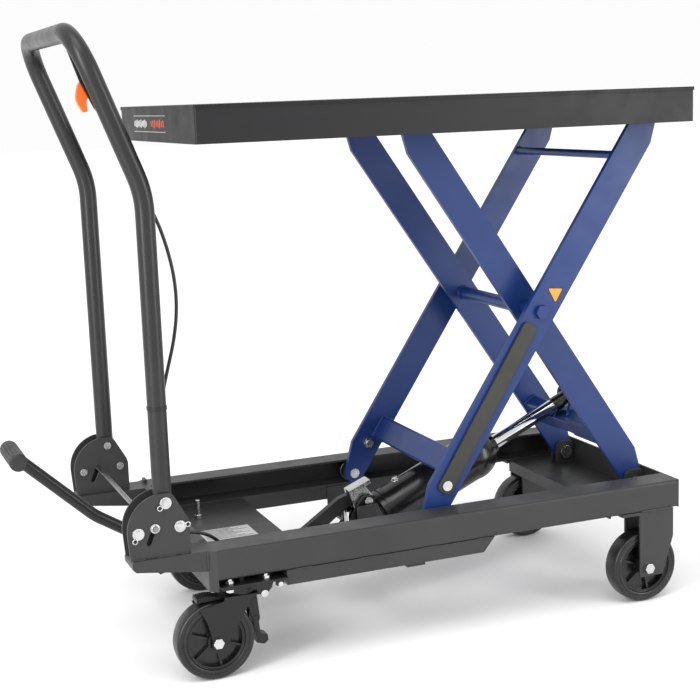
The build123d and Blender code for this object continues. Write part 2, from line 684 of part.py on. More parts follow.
# ---- scissor arms -----------------------------------------------------------------------
def arm_outline(side):
    """An arm's outline along its pivots' line; side is +1 where the roller end's shoulder is."""
    foot = (0.0, 0.0)
    head = (ARM_LENGTH, 0.0)
    foot_shoulder = (SHOULDER_START, side * ARM_SHOULDER)
    head_shoulder = (ARM_LENGTH - SHOULDER_START, -side * ARM_SHOULDER)
    points = [
        foot,
        tangent_point(foot, ARM_END_RADIUS, head_shoulder, -side),
        head_shoulder,
        tangent_point(head, ARM_END_RADIUS, head_shoulder, side),
        head,
        tangent_point(head, ARM_END_RADIUS, foot_shoulder, -side),
        foot_shoulder,
        tangent_point(foot, ARM_END_RADIUS, foot_shoulder, side),
    ]
    if side < 0:
        points.reverse()
    outline = Polygon(*points, align=None)
    outline += Pos(*foot) * Circle(ARM_END_RADIUS)
    outline += Pos(*head) * Circle(ARM_END_RADIUS)
    return outline


def arm(start_x, start_z, direction, side, y):
    """A flat arm from its lower pivot, at an angle from +X, with its middle at y."""
    a = radians(direction)
    plane = Plane(
        origin=(start_x, y + ARM_THICKNESS / 2, start_z),
        x_dir=(cos(a), 0, sin(a)),
        z_dir=(0, -1, 0),
    )
    return extrude(plane * arm_outline(side), amount=ARM_THICKNESS, dir=(0, -1, 0))


def on_arm(along, across, direction, start_x, start_z):
    a = radians(direction)
    x = start_x + along * cos(a) - across * sin(a)
    z = start_z + along * sin(a) + across * cos(a)
    return x, z


def outer_arm():
    """The near outer arm: roller at its foot, platform pivot at its head."""
    body = arm(ROLLER_X, LOWER_PIVOT_Z, OUTER_DIRECTION, 1, -OUTER_ARM_Y)
    y0 = -OUTER_ARM_Y - ARM_THICKNESS
    y1 = -OUTER_ARM_Y + ARM_THICKNESS
    body -= bar_y(CENTRE_X, CENTRE_Z, PIN_RADIUS + FIT, y0, y1)
    body -= bar_y(FIXED_PIVOT_X, UPPER_PIVOT_Z, PIN_RADIUS + FIT, y0, y1)
    return body


def inner_arm():
    """The near inner arm: base pivot at its foot, roller at its head."""
    body = arm(FIXED_PIVOT_X, LOWER_PIVOT_Z, INNER_DIRECTION, -1, -INNER_ARM_Y)
    y0 = -INNER_ARM_Y - ARM_THICKNESS
    y1 = -INNER_ARM_Y + ARM_THICKNESS
    return body - bar_y(FIXED_PIVOT_X, LOWER_PIVOT_Z, PIN_RADIUS + FIT, y0, y1)


def outer_spreaders():
    """Between the outer arms: a folded box near the rollers and a round bar near the top."""
    span = OUTER_ARM_Y - ARM_THICKNESS / 2
    x, z = on_arm(109, -9, OUTER_DIRECTION, ROLLER_X, LOWER_PIVOT_Z)
    box = Pos(x, 0, z) * Rot(0, -OUTER_DIRECTION, 0) * Box(50, 2 * span, 28)
    box = fillet(box.edges().filter_by(Axis.Y), 7)
    x, z = on_arm(758, 14, OUTER_DIRECTION, ROLLER_X, LOWER_PIVOT_Z)
    return [box, bar_y(x, z, 7.5, -span, span)]


def centre_tube():
    """Round tube between the inner arms at the scissor's centre."""
    span = INNER_ARM_Y - ARM_THICKNESS / 2
    return bar_y(CENTRE_X, CENTRE_Z, 12.5, -span, span)


def cylinder_beam():
    """Box beam between the inner arms, notched for the rod, with the lugs that it pushes."""
    span = INNER_ARM_Y - ARM_THICKNESS / 2
    notch = 34.0
    base = (INNER_DIRECTION, FIXED_PIVOT_X, LOWER_PIVOT_Z)
    middle_x, middle_z = on_arm(121, 3, *base)
    end_x, end_z = on_arm(125, 3, *base)
    turn = Rot(0, -INNER_DIRECTION, 0)
    beam = Pos(middle_x, 0, middle_z) * turn * Box(30, 2 * notch, 30)
    beam = fillet(beam.edges().filter_by(Axis.Y), 4)
    for side in (-1, 1):
        centre_y = side * (notch + span) / 2
        end = Pos(end_x, centre_y, end_z) * turn * Box(50, span - notch, 30)
        beam += fillet(end.edges().filter_by(Axis.Y), 6)
        lug = [on_arm(*point, *base) for point in ((108, -11), (134, 16), (174, -23), (151, -48))]
        y0, y1 = sorted((side * 21, side * 29))
        beam += plate_xz(lug, y0, y1) + bar_y(ROD_EYE_X, ROD_EYE_Z, EYE_RADIUS, y0, y1)
        beam += hexagon_y(ROD_EYE_X, ROD_EYE_Z, 19, *sorted((side * 29, side * 35)))
    return beam


def roller_pin(x, z, arm_y, outward):
    """Stub on an arm's end that carries a roller on its outboard side."""
    face = arm_y - ARM_THICKNESS / 2
    return bar_y(x, z, PIN_RADIUS, face - outward, face)


def outer_arm_pins():
    """Roller stubs, and the bolts that the prop bars swing on, with their nuts."""
    stub_length = LOWER_ROLLER_GAP + ROLLER_WIDTH + 3.0
    inner_face = -OUTER_ARM_Y + ARM_THICKNESS / 2
    outer_face = -OUTER_ARM_Y - ARM_THICKNESS / 2
    stub = roller_pin(ROLLER_X, LOWER_PIVOT_Z, -OUTER_ARM_Y, stub_length)
    weld_disc = bar_y(ROLLER_X, LOWER_PIVOT_Z, PIN_RADIUS, inner_face, inner_face + 1.5)
    head_y = outer_face - PROP_GAP - PROP_THICKNESS - 0.3
    bolt = bar_y(PROP_X, PROP_Z, PROP_BOLT_RADIUS, head_y, outer_face)
    bolt += bar_y(PROP_X, PROP_Z, PROP_BOLT_RADIUS + 3.5, head_y - 2.4, head_y)
    nut = hexagon_y(PROP_X, PROP_Z, 19, inner_face, inner_face + 9)
    nut += bar_y(PROP_X, PROP_Z, PROP_BOLT_RADIUS, inner_face, inner_face + 12)
    pieces = []
    for piece in (stub, weld_disc, bolt, nut):
        pieces += [piece, far(piece)]
    return pieces


def inner_arm_pins():
    """Centre pivots of the scissor and the stubs of the upper rollers."""
    y0 = -OUTER_ARM_Y - ARM_THICKNESS / 2 - 1.0
    y1 = -INNER_ARM_Y - ARM_THICKNESS / 2
    centre = bar_y(CENTRE_X, CENTRE_Z, PIN_RADIUS, y0, y1)
    centre += hexagon_y(CENTRE_X, CENTRE_Z, 24, y0 - 7, y0)
    spacer = bar_y(CENTRE_X, CENTRE_Z, 15, -OUTER_ARM_Y + ARM_THICKNESS / 2 + 1, y1)
    centre += spacer
    stub = roller_pin(ROLLER_X, UPPER_PIVOT_Z, -INNER_ARM_Y, ROLLER_GAP + ROLLER_WIDTH + 1.5)
    return [centre, far(centre), stub, far(stub)]


def roller(x, z, outer_y):
    """A flanged steel roller with its outboard face at outer_y."""
    wheel = bar_y(x, z, ROLLER_RADIUS, outer_y, outer_y + ROLLER_WIDTH)
    wheel = fillet(wheel.edges().filter_by(GeomType.CIRCLE), 2)
    return wheel - bar_y(x, z, PIN_RADIUS + FIT, outer_y - 1, outer_y + ROLLER_WIDTH + 1)


def lower_rollers():
    y0 = -LOWER_ROLLER_Y - ROLLER_WIDTH
    near = roller(ROLLER_X, LOWER_PIVOT_Z, y0)
    return [near, far(near)]


def upper_rollers():
    y0 = -INNER_ARM_Y - ARM_THICKNESS / 2 - ROLLER_GAP - ROLLER_WIDTH
    near = roller(ROLLER_X, UPPER_PIVOT_Z, y0)
    return [near, far(near)]


PROP_X, PROP_Z = on_arm(69, 8, OUTER_DIRECTION, ROLLER_X, LOWER_PIVOT_Z)


def prop_bar():
    """The near safety prop: a flat bar with round ends, folded up along the outer arm."""
    a = radians(OUTER_DIRECTION)
    y1 = -OUTER_ARM_Y - ARM_THICKNESS / 2 - PROP_GAP
    plane = Plane(origin=(PROP_X, y1, PROP_Z), x_dir=(cos(a), 0, sin(a)), z_dir=(0, -1, 0))
    outline = Pos(PROP_LENGTH / 2, 0) * RectangleRounded(PROP_LENGTH + 2 * PROP_HALF, 2 * PROP_HALF, 9)
    bar = extrude(plane * outline, amount=PROP_THICKNESS, dir=(0, -1, 0))
    return bar - bar_y(PROP_X, PROP_Z, PROP_BOLT_RADIUS + FIT, y1 - 10, y1 + 1)


# ---- platform ---------------------------------------------------------------------------


def platform_top():
    """The load platform: a thick top with a deep edge of thinner sheet, open below."""
    top = block(0, PLATFORM_LENGTH, -HALF_WIDTH, HALF_WIDTH, UNDERSIDE, PLATFORM_TOP)
    top = fillet(top.edges().filter_by(Axis.Z), 4)
    top = fillet(top.edges().group_by(Axis.Z)[-1], 1.5)
    x1 = PLATFORM_LENGTH - TOP_LIP
    y1 = HALF_WIDTH - TOP_LIP
    outside = block(TOP_LIP, x1, -y1, y1, APRON_BOTTOM, UNDERSIDE)
    outside = fillet(outside.edges().filter_by(Axis.Z), 4)
    inside = block(
        TOP_LIP + SHEET, x1 - SHEET, -y1 + SHEET, y1 - SHEET, APRON_BOTTOM - 1, UNDERSIDE
    )
    return top + (outside - inside)


def platform_tracks():
    """The near upper roller track: a channel under the platform, open towards the middle."""
    x0 = 8.0
    x1 = 480.0
    outside = block(
        x0,
        x1,
        -TRACK_OUTER_Y,
        -INNER_ARM_Y - ARM_THICKNESS / 2 - 1.5,
        UPPER_PIVOT_Z - ROLLER_RADIUS - 0.3 - TRACK_WALL,
        UNDERSIDE,
    )
    inside = block(
        x0 - 1,
        x1 + 1,
        -TRACK_OUTER_Y + TRACK_WALL,
        -INNER_ARM_Y,
        UPPER_PIVOT_Z - ROLLER_RADIUS - 0.3,
        UPPER_PIVOT_Z + ROLLER_RADIUS + 0.3,
    )
    track = outside - inside
    return [track, far(track)]


def platform_lugs():
    """Lugs each side of the near outer arm's head, hanging from the platform's sheet."""
    lugs = []
    reach = ARM_THICKNESS / 2 + 1.0
    for y0 in (-OUTER_ARM_Y - reach - 6, -OUTER_ARM_Y + reach):
        lug = block(870, 920, y0, y0 + 6, APRON_BOTTOM + 4, UNDERSIDE)
        lug -= bar_y(FIXED_PIVOT_X, UPPER_PIVOT_Z, PIN_RADIUS + FIT, y0 - 1, y0 + 7)
        lugs += [lug, far(lug)]
    return lugs


def platform_pins():
    y0 = -OUTER_ARM_Y - ARM_THICKNESS / 2 - 7.0
    y1 = -OUTER_ARM_Y + ARM_THICKNESS / 2 + 7.0
    pin = bar_y(FIXED_PIVOT_X, UPPER_PIVOT_Z, PIN_RADIUS, y0 - 4, y1 + 4)
    pin += bar_y(FIXED_PIVOT_X, UPPER_PIVOT_Z, PIN_RADIUS + 4, y0 - 4, y0 - 0.05)
    return [pin, far(pin)]


# ---- push handle ------------------------------------------------------------------------
def handle_bar(bore):
    """The handle's bent shape as a round bar, with a bore if it is a tube."""
    foot_z = HANDLE_PIVOT_Z - HANDLE_FOOT
    points = [
        (HANDLE_PIVOT_X, -HANDLE_Y, foot_z),
        (HANDLE_PIVOT_X, -HANDLE_Y, HANDLE_BEND_Z),
        (HANDLE_TOP_X, -HANDLE_Y, HANDLE_TOP_Z),
        (HANDLE_TOP_X, HANDLE_Y, HANDLE_TOP_Z),
        (HANDLE_PIVOT_X, HANDLE_Y, HANDLE_BEND_Z),
        (HANDLE_PIVOT_X, HANDLE_Y, foot_z),
    ]
    bends = [HANDLE_BEND, HANDLE_CORNER, HANDLE_CORNER, HANDLE_BEND]
    path = FilletPolyline(*points, radius=bends)
    section = Circle(HANDLE_RADIUS)
    if bore:
        section -= Circle(bore)
    return sweep(Plane(origin=path @ 0, z_dir=path % 0) * section, path=path)


def handle_tube():
    """One bent tube: two legs, a lean towards the operator, and the grip across the top."""
    tube = handle_bar(HANDLE_RADIUS - HANDLE_WALL)
    for side in (-1, 1):
        y = side * HANDLE_Y
        tube -= bar_y(HANDLE_PIVOT_X, HANDLE_PIVOT_Z, STOP_PIN_RADIUS + FIT, y - 20, y + 20)
    return tube


def on_lean(along, across):
    """A point by its distance up the handle's leaning part and off its axis, towards -X."""
    x = HANDLE_PIVOT_X - along * sin(LEAN) - across * cos(LEAN)
    z = HANDLE_BEND_Z + along * cos(LEAN) - across * sin(LEAN)
    return x, z


LEVER_PIVOT = on_lean(188, 4)


def lever_bracket():
    """Flat plate along the inside of the near leg, which the release lever turns on."""
    edge = [(262, 8), (250, 16), (199, 18), (153, 14), (130, 7), (111, 2), (111, -6), (262, -6)]
    outline = [on_lean(along, across) for along, across in edge]
    plate = plate_xz(outline, LEVER_FACE_Y, LEVER_FACE_Y + 4)
    seam = [on_lean(256, -4), on_lean(256, 6), on_lean(116, 2), on_lean(116, -4)]
    weld = plate_xz(seam, -HANDLE_Y + 14, LEVER_FACE_Y)
    pivot_hole = bar_y(*LEVER_PIVOT, LEVER_PIN_RADIUS + FIT, -HANDLE_Y, -HANDLE_Y + 40)
    return plate + weld - pivot_hole - handle_bar(0)


def release_lever():
    """Hooked finger lever, squeezed towards the handle to let the platform down."""
    back = [(200, 8), (198, 18), (188, 27), (176, 33), (163, 33), (153, 31)]
    front = [(152, 25), (160, 22), (169, 18), (172, 12), (178, -4), (190, -6), (200, 8)]
    with BuildSketch() as outline:
        with BuildLine():
            Spline(*[on_lean(*point) for point in back])
            Line(on_lean(*back[-1]), on_lean(*front[0]))
            Spline(*[on_lean(*point) for point in front[:4]])
            Polyline(*[on_lean(*point) for point in front[3:]])
        make_face()
    y0 = LEVER_FACE_Y + 4.3
    lever = standing(outline.sketch, y0, y0 + 11)
    return lever - bar_y(*LEVER_PIVOT, LEVER_PIN_RADIUS + FIT, y0 - 1, y0 + 12)


def handle_fasteners():
    """Pin of the release lever, the cable's ferrule, and the cable's clip on the near leg."""
    x, z = LEVER_PIVOT
    pin = bar_y(x, z, LEVER_PIN_RADIUS, LEVER_FACE_Y - 1, LEVER_FACE_Y + 18)
    pin += bar_y(x, z, LEVER_PIN_RADIUS + 3, LEVER_FACE_Y + 15.6, LEVER_FACE_Y + 18)
    clip_z = 480.0
    ring = bar_z(HANDLE_PIVOT_X, -HANDLE_Y, HANDLE_RADIUS + 1.0, clip_z - 3, clip_z + 3)
    ring -= bar_z(HANDLE_PIVOT_X, -HANDLE_Y, HANDLE_RADIUS + 0.02, clip_z - 5, clip_z + 5)
    start = Vector(*UPPER_CABLE[0])
    away = (start - Vector(*UPPER_CABLE[1])).normalized()
    ferrule = Plane(origin=start + away * 7, z_dir=away) * Cylinder(4, 14)
    return [pin, ferrule, ring]


def cord(points):
    """A cable along straight runs joined by tangent arcs, as large as the runs allow."""
    vectors = [Vector(*p) for p in points]
    radii = []
    for before, here, after in zip(vectors, vectors[1:], vectors[2:]):
        shorter = min((here - before).length, (after - here).length)
        half_turn = radians((here - before).get_angle(after - here)) / 2
        radii.append(0.45 * shorter / tan(half_turn))
    path = FilletPolyline(*points, radius=radii)
    section = Plane(origin=path @ 0, z_dir=path % 0) * Circle(CABLE_RADIUS)
    tube = sweep(section, path=path)
    swept = pi * CABLE_RADIUS**2 * path.length
    print("cable", round(path.length), "mm, volume", round(tube.volume), "of", round(swept))
    print("  arc radii", [round(r) for r in radii])
    return tube


UPPER_CABLE = [
    (-130, CABLE_Y + 2, 965),
    (-118, CABLE_Y + 2, 925),
    (-102, CABLE_Y + 2, 880),
    (-82, CABLE_Y + 1, 838),
    (-57, CABLE_Y, 792),
    (-41, CABLE_Y + 1, 742),
    (-31, CABLE_Y + 1, 690),
    (-30, CABLE_Y, 638),
    (-38, CABLE_Y, 586),
    (-53, CABLE_Y - 1, 536),
    (-66, CABLE_Y, 486),
    (-74, CABLE_Y + 3, 432),
    (-79, CABLE_Y + 5, 378),
    (HANDLE_PIVOT_X, 8 - HINGE_INNER_Y, HANDLE_PIVOT_Z + 0.6),
]
LOWER_CABLE = [
    (HANDLE_PIVOT_X, 8 - HINGE_INNER_Y, HANDLE_PIVOT_Z - 0.6),
    (-78, 9 - HINGE_INNER_Y, 288),
    (-66, 13 - HINGE_INNER_Y, 263),
    (-43, 20 - HINGE_INNER_Y, 249),
    (-14, 28 - HINGE_INNER_Y, 243),
    (15, 36 - HINGE_INNER_Y, 231),
    (40, 44 - HINGE_INNER_Y, 206),
    (72, 54 - HINGE_INNER_Y, 187),
    (116, 69 - HINGE_INNER_Y, 182.5),
    (165, 90 - HINGE_INNER_Y, 183.5),
    (206, 117 - HINGE_INNER_Y, 182.5),
    (243, 148 - HINGE_INNER_Y, 172),
    (276, 171 - HINGE_INNER_Y, 157),
    CABLE_END,
]


# ---- wheels -----------------------------------------------------------------------------


def tyre(x, y):
    """Black rubber tyre with rounded shoulders, open to the hub."""
    half = TYRE_WIDTH / 2
    ring = bar_y(x, WHEEL_CENTRE_Z, WHEEL_RADIUS, y - half, y + half)
    ring = fillet(ring.edges().filter_by(GeomType.CIRCLE), 7)
    return ring - bar_y(x, WHEEL_CENTRE_Z, HUB_RADIUS + 0.02, y - 30, y + 30)


def hub(x, y):
    """Moulded wheel centre: rim, web, boss and six ribs on each face."""
    rim = bar_y(x, WHEEL_CENTRE_Z, HUB_RADIUS, y - 15, y + 15)
    for side in (-1, 1):
        y0, y1 = sorted((y + side * 5, y + side * 18))
        rim -= bar_y(x, WHEEL_CENTRE_Z, HUB_RADIUS - 5, y0, y1)
    boss_half = TYRE_WIDTH / 2 - 1
    rim += bar_y(x, WHEEL_CENTRE_Z, 15, y - boss_half, y + boss_half)
    rib = block(12, HUB_RADIUS - 3, -12, 12, -2, 2)
    for index in range(6):
        rim += Pos(x, y, WHEEL_CENTRE_Z) * Rot(0, 60 * index + 20, 0) * rib
    return rim - bar_y(x, WHEEL_CENTRE_Z, AXLE_RADIUS + FIT, y - 30, y + 30)


def swivel_fork():
    """Pressed fork of a swivel caster, trailing towards -X from its king pin at the origin."""
    crown_top = SWIVEL_TOP - 16
    crown_bottom = crown_top - FORK_LEG
    leg = [
        (RACE_RADIUS, crown_top),
        (14, crown_top - 6),
        (0, 114),
        (-38, 52),
        (-45, 46),
        (-58, 46),
        (-62, 52),
        (-61, 71),
        (-68, 99.5),
        (-81, 128),
        (-38, 136),
        (-34, crown_top),
    ]
    ear_top = crown_bottom + 1
    ear = [(2, ear_top), (24, ear_top), (28.5, 92), (26, 85), (18.5, 83.5), (14.3, 90), (9, 115)]
    outer = FORK_LEG_Y + FORK_LEG
    fork = block(-34, RACE_RADIUS, -outer, outer, crown_bottom, crown_top)
    for side in (-1, 1):
        fork += plate_xz(leg, *sorted((side * FORK_LEG_Y, side * outer)))
        fork += plate_xz(ear, *sorted((side * 11.5, side * 14.5)))
    race = bar_z(0, 0, RACE_RADIUS, crown_top, SWIVEL_TOP - 0.6)
    fork += fillet(race.edges().filter_by(GeomType.CIRCLE), 3)
    fork += bar_z(0, 0, 8.0, SWIVEL_TOP - 4, SWIVEL_TOP + 3.5)
    fork -= bar_y(*BRAKE_PIVOT, BRAKE_PIN_RADIUS + FIT, -16, 16)
    return fork - bar_y(-CASTER_TRAIL, WHEEL_CENTRE_Z, AXLE_RADIUS + FIT, -40, 40)


def caster_axle():
    """Bolt through the fork, head and nut outside its legs."""
    outer = FORK_LEG_Y + FORK_LEG
    axle = bar_y(-CASTER_TRAIL, WHEEL_CENTRE_Z, AXLE_RADIUS, -outer - 6, outer + 6)
    axle += hexagon_y(-CASTER_TRAIL, WHEEL_CENTRE_Z, 17, -outer - 6.5, -outer)
    return axle + hexagon_y(-CASTER_TRAIL, WHEEL_CENTRE_Z, 17, outer, outer + 6.5)


def brake_pedal():
    """Toe pedal of the total-lock brake, on a cross pin between the fork's ears."""
    outline = [
        (15, 100),
        (26, 98),
        (28, 75),
        (30, 62),
        (42, 58),
        (43, 48),
        (36, 42),
        (22, 46),
        (21, 64),
        (17, 86),
    ]
    return plate_xz(outline, -11, 11) + bar_y(*BRAKE_PIVOT, BRAKE_PIN_RADIUS, -15.5, 15.5)


def place_caster(shape, side):
    """Near casters (side -1) trail towards the handle, far ones have swung the other way."""
    turn = 0 if side < 0 else 180
    return Pos(CASTER_X, side * CASTER_Y, 0) * Rot(0, 0, turn) * shape


# ---- everything is made and written -----------------------------------------------------
near_rail = rail()
save("rail_near", near_rail)
save("rail_far", far(near_rail))
save("lower_rails", lower_rail(), far(lower_rail()))
save("end_beams", handle_end_beam(), far_end_beam())
save("deck_plates", *deck_plates())
save("handle_brackets", handle_bracket(), far(handle_bracket()))

near_plates = hinge_pair()
save("hinge_plates", *near_plates, *[far(plate) for plate in near_plates])
save("hinge_pins", *hinge_pins())
save("lock_rod", lock_rod())
save("lock_rod_retainers", *lock_rod_retainers())

save("caster_plates", *caster_plates())
save("base_fasteners", *base_fasteners())
save("fixed_forks", fixed_fork(), far(fixed_fork()))
near_lugs = base_pivot_lugs()
save("base_pivot_lugs", *near_lugs, *[far(lug) for lug in near_lugs])
save("base_pins", *base_pins())

save("pump_crossbeam", pump_crossbeam())
save("pump_block", pump_block())
save("pump_plunger", pump_plunger())
save("cylinder_body", cylinder_body())
save("piston_rod", piston_rod())
save("rod_eye", rod_eye())
save("pedal_arm", pedal_arm())
save("pedal_clevis", pedal_clevis())
save("pedal_pad", pedal_pad())

near_outer = outer_arm()
save("outer_arm_near", near_outer)
save("outer_arm_far", far(near_outer))
save("outer_spreaders", *outer_spreaders())
save("outer_arm_pins", *outer_arm_pins())
near_inner = inner_arm()
save("inner_arm_near", near_inner)
save("inner_arm_far", far(near_inner))
save("centre_tube", centre_tube())
save("cylinder_beam", cylinder_beam())
save("inner_arm_pins", *inner_arm_pins())
save("lower_rollers", *lower_rollers())
save("upper_rollers", *upper_rollers())
near_prop = prop_bar()
save("prop_bar_near", near_prop)
save("prop_bar_far", far(near_prop))

save("platform_top", platform_top())
save("platform_tracks_and_lugs", *platform_tracks(), *platform_lugs())
save("platform_pins", *platform_pins())

save("handle_tube", handle_tube())
save("lever_bracket", lever_bracket())
save("release_lever", release_lever())
save("handle_fasteners", *handle_fasteners())
save("release_cable_upper", cord(UPPER_CABLE))
save("release_cable_lower", cord(LOWER_CABLE))

for side, label in ((-1, "near"), (1, "far")):
    save(f"swivel_fork_{label}", place_caster(swivel_fork(), side))
    save(f"caster_axle_{label}", place_caster(caster_axle(), side))
    save(f"brake_pedal_{label}", place_caster(brake_pedal(), side))
    wheel_x = CASTER_X + side * CASTER_TRAIL
    save(f"swivel_tyre_{label}", tyre(wheel_x, side * CASTER_Y))
    save(f"swivel_hub_{label}", hub(wheel_x, side * CASTER_Y))
    save(f"fixed_tyre_{label}", tyre(FIXED_WHEEL_X, side * FIXED_WHEEL_Y))
    save(f"fixed_hub_{label}", hub(FIXED_WHEEL_X, side * FIXED_WHEEL_Y))
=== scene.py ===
"""Looks of the foot-pumped scissor lift table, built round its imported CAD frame."""

import json
from math import cos, pi, radians, sin

import bmesh
import bpy
from mathutils import Euler, Matrix, Vector


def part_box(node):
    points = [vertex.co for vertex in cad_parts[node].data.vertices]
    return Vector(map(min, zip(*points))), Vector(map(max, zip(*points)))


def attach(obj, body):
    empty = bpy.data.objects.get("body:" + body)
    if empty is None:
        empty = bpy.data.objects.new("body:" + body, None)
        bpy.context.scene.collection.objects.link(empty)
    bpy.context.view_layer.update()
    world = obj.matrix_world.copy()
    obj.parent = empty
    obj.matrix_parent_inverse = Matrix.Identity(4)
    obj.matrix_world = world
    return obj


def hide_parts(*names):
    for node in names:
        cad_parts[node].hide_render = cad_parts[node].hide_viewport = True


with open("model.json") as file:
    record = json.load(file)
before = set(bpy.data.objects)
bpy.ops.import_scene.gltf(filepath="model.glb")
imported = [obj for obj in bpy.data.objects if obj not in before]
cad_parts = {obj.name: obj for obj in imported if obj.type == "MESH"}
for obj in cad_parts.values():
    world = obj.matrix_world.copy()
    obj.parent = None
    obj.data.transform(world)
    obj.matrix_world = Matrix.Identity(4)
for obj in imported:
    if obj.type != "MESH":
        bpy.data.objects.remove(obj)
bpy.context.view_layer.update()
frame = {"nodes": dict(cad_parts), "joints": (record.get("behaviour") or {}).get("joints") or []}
joints = {joint["name"]: joint for joint in frame["joints"]}

MM = 0.001
SLOT_OF_LABEL = "zinc"         # the slot name handed with labels and printed marks


# ---- node helpers for materials -----------------------------------------------------------
class Surface:
    """A material with its shader, and short calls that add and join nodes."""

    def __init__(self, name):
        self.material = bpy.data.materials.new(name)
        self.material.use_nodes = True
        self.tree = self.material.node_tree
        self.shader = self.tree.nodes["Principled BSDF"]
        coordinates = self.tree.nodes.new("ShaderNodeTexCoord")
        self.where = coordinates.outputs["Object"]

    def node(self, kind, **inputs):
        made = self.tree.nodes.new(kind)
        for key, value in inputs.items():
            self.put(made, key.replace("_", " "), value)
        return made

    def put(self, node, key, value):
        socket = node.inputs[key]
        if isinstance(value, bpy.types.NodeSocket):
            self.tree.links.new(value, socket)
        else:
            socket.default_value = value

    def set(self, **inputs):
        for key, value in inputs.items():
            self.put(self.shader, key.replace("_", " "), value)

    def noise(self, scale, detail=3.0, stretch=None, roughness=0.5):
        where = self.where
        if stretch:
            mapping = self.node("ShaderNodeMapping", Vector=where, Scale=stretch)
            where = mapping.outputs["Vector"]
        made = self.node("ShaderNodeTexNoise", Vector=where, Scale=scale, Detail=detail)
        made.inputs["Roughness"].default_value = roughness
        return made.outputs["Fac"]

    def spread(self, value, low, high, start=0.3, end=0.7):
        """Maps a value's middle stretch onto low..high."""
        made = self.node("ShaderNodeMapRange", Value=value)
        for key, number in (("From Min", start), ("From Max", end), ("To Min", low), ("To Max", high)):
            made.inputs[key].default_value = number
        return made.outputs["Result"]

    def mix(self, share, first, second):
        made = self.tree.nodes.new("ShaderNodeMix")
        made.data_type = "RGBA"
        self.put(made, "Factor", share)
        for index, value in ((6, first), (7, second)):
            if isinstance(value, bpy.types.NodeSocket):
                self.tree.links.new(value, made.inputs[index])
            else:
                made.inputs[index].default_value = (*value, 1.0)
        return made.outputs[2]

    def calculate(self, operation, first, second=0.0):
        made = self.tree.nodes.new("ShaderNodeMath")
        made.operation = operation
        made.use_clamp = True
        for index, value in ((0, first), (1, second)):
            if isinstance(value, bpy.types.NodeSocket):
                self.tree.links.new(value, made.inputs[index])
            else:
                made.inputs[index].default_value = value
        return made.outputs[0]

    def edges(self, radius):
        """A rounded-edge normal, and a mask that is 1 along the sharp edges."""
        bevel = self.tree.nodes.new("ShaderNodeBevel")
        bevel.samples = 6
        bevel.inputs["Radius"].default_value = radius
        geometry = self.tree.nodes.new("ShaderNodeNewGeometry")
        dot = self.tree.nodes.new("ShaderNodeVectorMath")
        dot.operation = "DOT_PRODUCT"
        self.tree.links.new(bevel.outputs["Normal"], dot.inputs[0])
        self.tree.links.new(geometry.outputs["Normal"], dot.inputs[1])
        mask = self.spread(dot.outputs["Value"], 1.0, 0.0, 0.86, 0.995)
        return bevel.outputs["Normal"], mask

    def bump(self, height, distance, strength=1.0, normal=None):
        made = self.node("ShaderNodeBump", Height=height, Distance=distance, Strength=strength)
        if normal is not None:
            self.tree.links.new(normal, made.inputs["Normal"])
        self.tree.links.new(made.outputs["Normal"], self.shader.inputs["Normal"])


def tint(colour, factor):
    return tuple(min(1.0, channel * factor) for channel in colour)


CLOUD_DARK = 0.86              # how far the cloudiness of paint darkens and lightens it
CLOUD_LIGHT = 1.14
DUST_LIGHT = 2.0
DARK_REFLECTION_BLEND = 0.2 * MM           # half the height over which the coat's colour turns into the painted dark reflection
COAT_ROUGHNESS = 0.22
PAINT_SPECULAR = 0.34


def powder_coat(
    name, colour, roughness, coat=0.0, edge_light=1.8, peel=0.06 * MM, radius=1.2 * MM, top=None
):
    """Powder-coated steel: orange peel, faint cloudiness, thin paint along the edges, dust.

    top, if given, is (height, colour): above that height the steel is painted in the other colour, as a
    painted dark reflection.
    """
    s = Surface(name)
    # painted reflection: above the height the coat takes the near black of dark surroundings reflected in it
    if top:
        parts = s.node("ShaderNodeSeparateXYZ", Vector=s.where)
        height, dark_reflection_colour = top
        above = s.spread(parts.outputs["Z"], 0.0, 1.0, height - DARK_REFLECTION_BLEND, height + DARK_REFLECTION_BLEND)
        low = s.mix(above, tint(colour, CLOUD_DARK), tint(dark_reflection_colour, CLOUD_DARK))
        high = s.mix(above, tint(colour, CLOUD_LIGHT), tint(dark_reflection_colour, CLOUD_LIGHT))
    else:
        low = tint(colour, CLOUD_DARK)
        high = tint(colour, CLOUD_LIGHT)
    cloudy = s.mix(s.spread(s.noise(5.0, 4.0), 0, 1), low, high)
    normal, edge = s.edges(radius)
    worn = s.calculate("MULTIPLY", edge, s.spread(s.noise(60.0, 5.0), 0.15, 0.8, 0.35, 0.65))
    painted = s.mix(worn, cloudy, tint(colour, edge_light))
    specks = s.spread(s.noise(420.0, 2.0), 0.0, 0.16, 0.68, 0.78)
    s.set(Base_Color=s.mix(specks, painted, tint(colour, DUST_LIGHT)))
    s.set(Roughness=s.spread(s.noise(24.0, 4.0), roughness - 0.05, roughness + 0.07))
    s.set(Coat_Weight=coat, Coat_Roughness=COAT_ROUGHNESS, Specular_IOR_Level=PAINT_SPECULAR)
    s.bump(s.noise(650.0, 2.0), peel, 0.5, normal)
    return s.material


def bright_metal(name, colour, roughness, scratch, radius=0.8 * MM):
    """Plated or polished metal with fine scratches and slight tarnish."""
    s = Surface(name)
    tarnish = s.spread(s.noise(30.0, 5.0), 0.0, 1.0)
    s.set(Base_Color=s.mix(tarnish, tint(colour, 0.78), colour))
    s.set(Metallic=1.0)
    s.set(Roughness=s.spread(s.noise(140.0, 4.0), roughness * 0.7, roughness * 1.35))
    normal, _ = s.edges(radius)
    s.bump(s.noise(90.0, 5.0, (1.0, 9.0, 1.0)), scratch, 0.5, normal)
    return s.material


